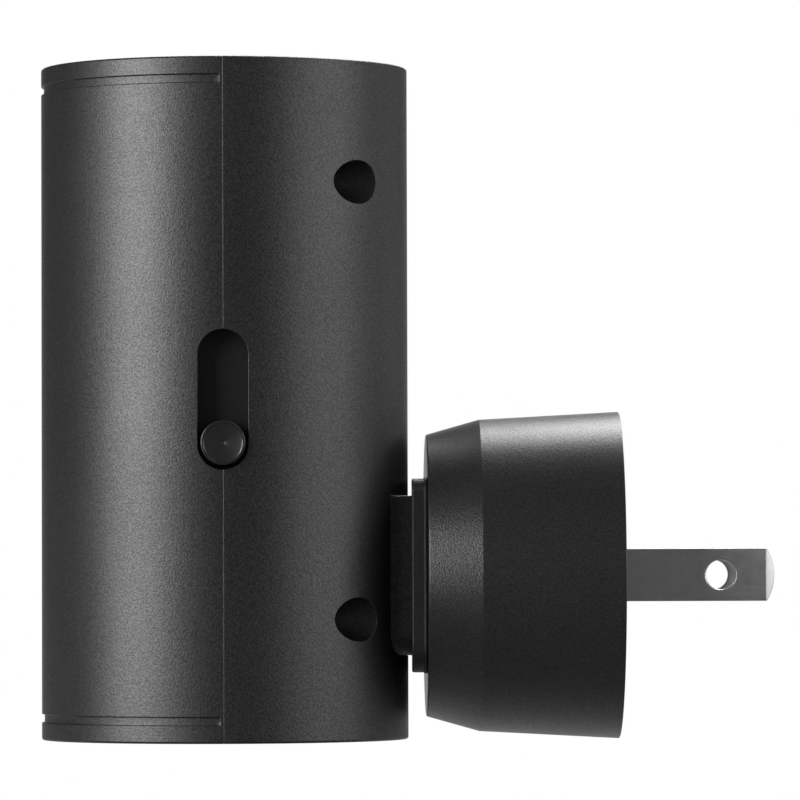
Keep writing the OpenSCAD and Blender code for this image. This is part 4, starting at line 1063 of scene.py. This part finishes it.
def blade(name, y, node_name):
    sheet = blade_sheet()
    sides = {}
    for ids in sheet.faces:
        for a, b in zip(ids, ids[1:] + ids[:1]):
            sides[frozenset((a, b))] = sides.get(frozenset((a, b)), 0) + 1
    solid = Skin()

    def at(k, way):
        x, z = sheet.points[k]
        return (x, y + way * half_thickness(x), z)

    def over(k, way, turn):
        """A point of the hole's edge, turned so far over the rounding towards the hole's wall."""
        x, out, z = at(k, way)
        share = 1 - HOLE_ROUND * math.sin(turn) / HOLE_R
        return (HOLE_X + (x - HOLE_X) * share, out - way * HOLE_ROUND * (1 - math.cos(turn)), z * share)

    def is_hole(k):
        x, z = sheet.points[k]
        return math.hypot(x - HOLE_X, z) < HOLE_R + 0.01

    for ids in sheet.faces:
        for way in (-1, 1):
            solid.face(*[at(k, way) for k in ids])
    turns = [math.radians(15 * k) for k in range(7)]
    for a, b in (tuple(side) for side, uses in sides.items() if uses == 1):
        if is_hole(a) and is_hole(b):
            near_side, far_side = [(-1, t) for t in turns], [(1, t) for t in turns[::-1]]
            rows = [[over(k, *spot) for spot in near_side + far_side] for k in (a, b)]
            solid.strip(*rows)
        else:
            solid.face(at(a, -1), at(b, -1), at(b, 1), at(a, 1))
    piece = close_up(link_mesh(name, solid.points, solid.faces))
    settle(soften(piece, 0.12, 3, 18), "plug", "blade_plating", node_name)


blade("near_blade", -BLADE_Y, "line_blade")
blade("far_blade", BLADE_Y, "neutral_blade")

# %% [markdown]
# Cross-head screws repeat, so one tree makes them: a head with a cross cut into it by two boxes, a
# shank below, and a copy on each point of the piece. Each screw is turned by its own angle, as a
# screwdriver leaves it, from a fixed seed.

# %% Geometry Nodes tree for screws
screws, screws_in, screws_out = node_tree_for_geometry(
    "cross_head_screws",
    [("Head diameter", "Float", 0.004), ("Head height", "Float", 0.0011),
     ("Shank diameter", "Float", 0.0022), ("Shank length", "Float", 0.006),
     ("Seed", "Int", 3), ("Material", "Material", None)],
)


def screw_math(kind, *values):
    return math_node(screws, kind, *values)


def combine(x, y, z):
    node = screws.nodes.new("ShaderNodeCombineXYZ")
    for socket, value in zip(node.inputs, (x, y, z)):
        feed(screws, value, socket)
    return node.outputs[0]


def moved(geometry, offset):
    node = screws.nodes.new("GeometryNodeTransform")
    wire(screws, geometry, node.inputs["Geometry"])
    wire(screws, offset, node.inputs["Translation"])
    return node.outputs[0]


def drum(diameter, height, sides):
    """A closed cylinder that stands on the plane z = 0."""
    node = screws.nodes.new("GeometryNodeMeshCylinder")
    node.inputs["Vertices"].default_value = sides
    wire(screws, screw_math("MULTIPLY", diameter, 0.5), node.inputs["Radius"])
    wire(screws, height, node.inputs["Depth"])
    return moved(node.outputs["Mesh"], combine(0, 0, screw_math("MULTIPLY", height, 0.5)))


head_d, head_h, shank_d, shank_l = screws_in.outputs[1:5]
head = drum(head_d, head_h, 48)
shank = moved(drum(shank_d, shank_l, 24), combine(0, 0, screw_math("MULTIPLY", shank_l, -1)))
cut = screws.nodes.new("GeometryNodeMeshBoolean")
cut.operation = "DIFFERENCE"
cut.solver = "EXACT"
wire(screws, head, cut.inputs["Mesh 1"])
slot_l, slot_w = screw_math("MULTIPLY", head_d, 0.62), screw_math("MULTIPLY", head_d, 0.16)
slot_d = screw_math("MULTIPLY", head_h, 1.1)
for slot_size in ((slot_l, slot_w, slot_d), (slot_w, slot_l, slot_d)):
    cutter = screws.nodes.new("GeometryNodeMeshCube")
    wire(screws, combine(*slot_size), cutter.inputs["Size"])
    wire(screws, moved(cutter.outputs["Mesh"], combine(0, 0, head_h)), cut.inputs["Mesh 2"])
whole = screws.nodes.new("GeometryNodeMeshBoolean")
whole.operation = "UNION"
whole.solver = "EXACT"
wire(screws, cut.outputs["Mesh"], whole.inputs["Mesh 2"])
wire(screws, shank, whole.inputs["Mesh 2"])
angle = screws.nodes.new("FunctionNodeRandomValue")
angle.data_type = "FLOAT"
limits = [s for s in angle.inputs if s.type == "VALUE" and s.name in ("Min", "Max")]
limits[0].default_value, limits[1].default_value = 0.0, math.pi / 2
wire(screws, screws_in.outputs["Seed"], angle.inputs["Seed"])
spun = combine(0, 0, [s for s in angle.outputs if s.type == "VALUE" and s.enabled][0])
placed = screws.nodes.new("GeometryNodeInstanceOnPoints")
wire(screws, screws_in.outputs["Geometry"], placed.inputs["Points"])
wire(screws, whole.outputs["Mesh"], placed.inputs["Instance"])
wire(screws, spun, placed.inputs["Rotation"])
finish_tree(screws, placed.outputs["Instances"], screws_in, screws_out)
print("tree:", screws.name)

# %% [markdown]
# Four screws at the bottom of the wells hold the two halves of the cylinder together, and three
# smaller ones hold the face plate in the plug.

# %% Screws in the wells and in the face plate


def screw_set(name, places, seat_x, head_size, shank_size, seed, body, node_name):
    """Screws whose heads face the wall. places are (y, z), and sizes are (diameter, length)."""
    piece = link_mesh(name, [(y, z, 0) for y, z in places], [])
    sizes = {
        "Head diameter": head_size[0] * MM, "Head height": head_size[1] * MM,
        "Shank diameter": shank_size[0] * MM, "Shank length": shank_size[1] * MM,
        "Seed": seed, "Material": finishes["screw_steel"],
    }
    grown(piece, screws, sizes, TO_WALL, (seat_x, 0, 0))
    settle(soften(piece, 0.06, 2, 40), body, "screw_steel", node_name)


well_places = [(y, z) for y in (-WELL_Y, WELL_Y) for z in WELL_ZS]
screw_set("well_screws", well_places, WELL_FLOOR, (4.6, 1.7), (2.4, 10.7), 3, "lamp", "shell_screws")
PLATE_SCREW_R = 14.2
plate_turns = [math.radians(a) for a in (0, 120, 240)]
plate_places = [(PLATE_SCREW_R * math.sin(t), PLATE_SCREW_R * math.cos(t)) for t in plate_turns]
screw_set("plate_screws", plate_places, -1.3, (4.0, 1.1), (2.2, 7.1), 8, "plug", "face_plate_screws")
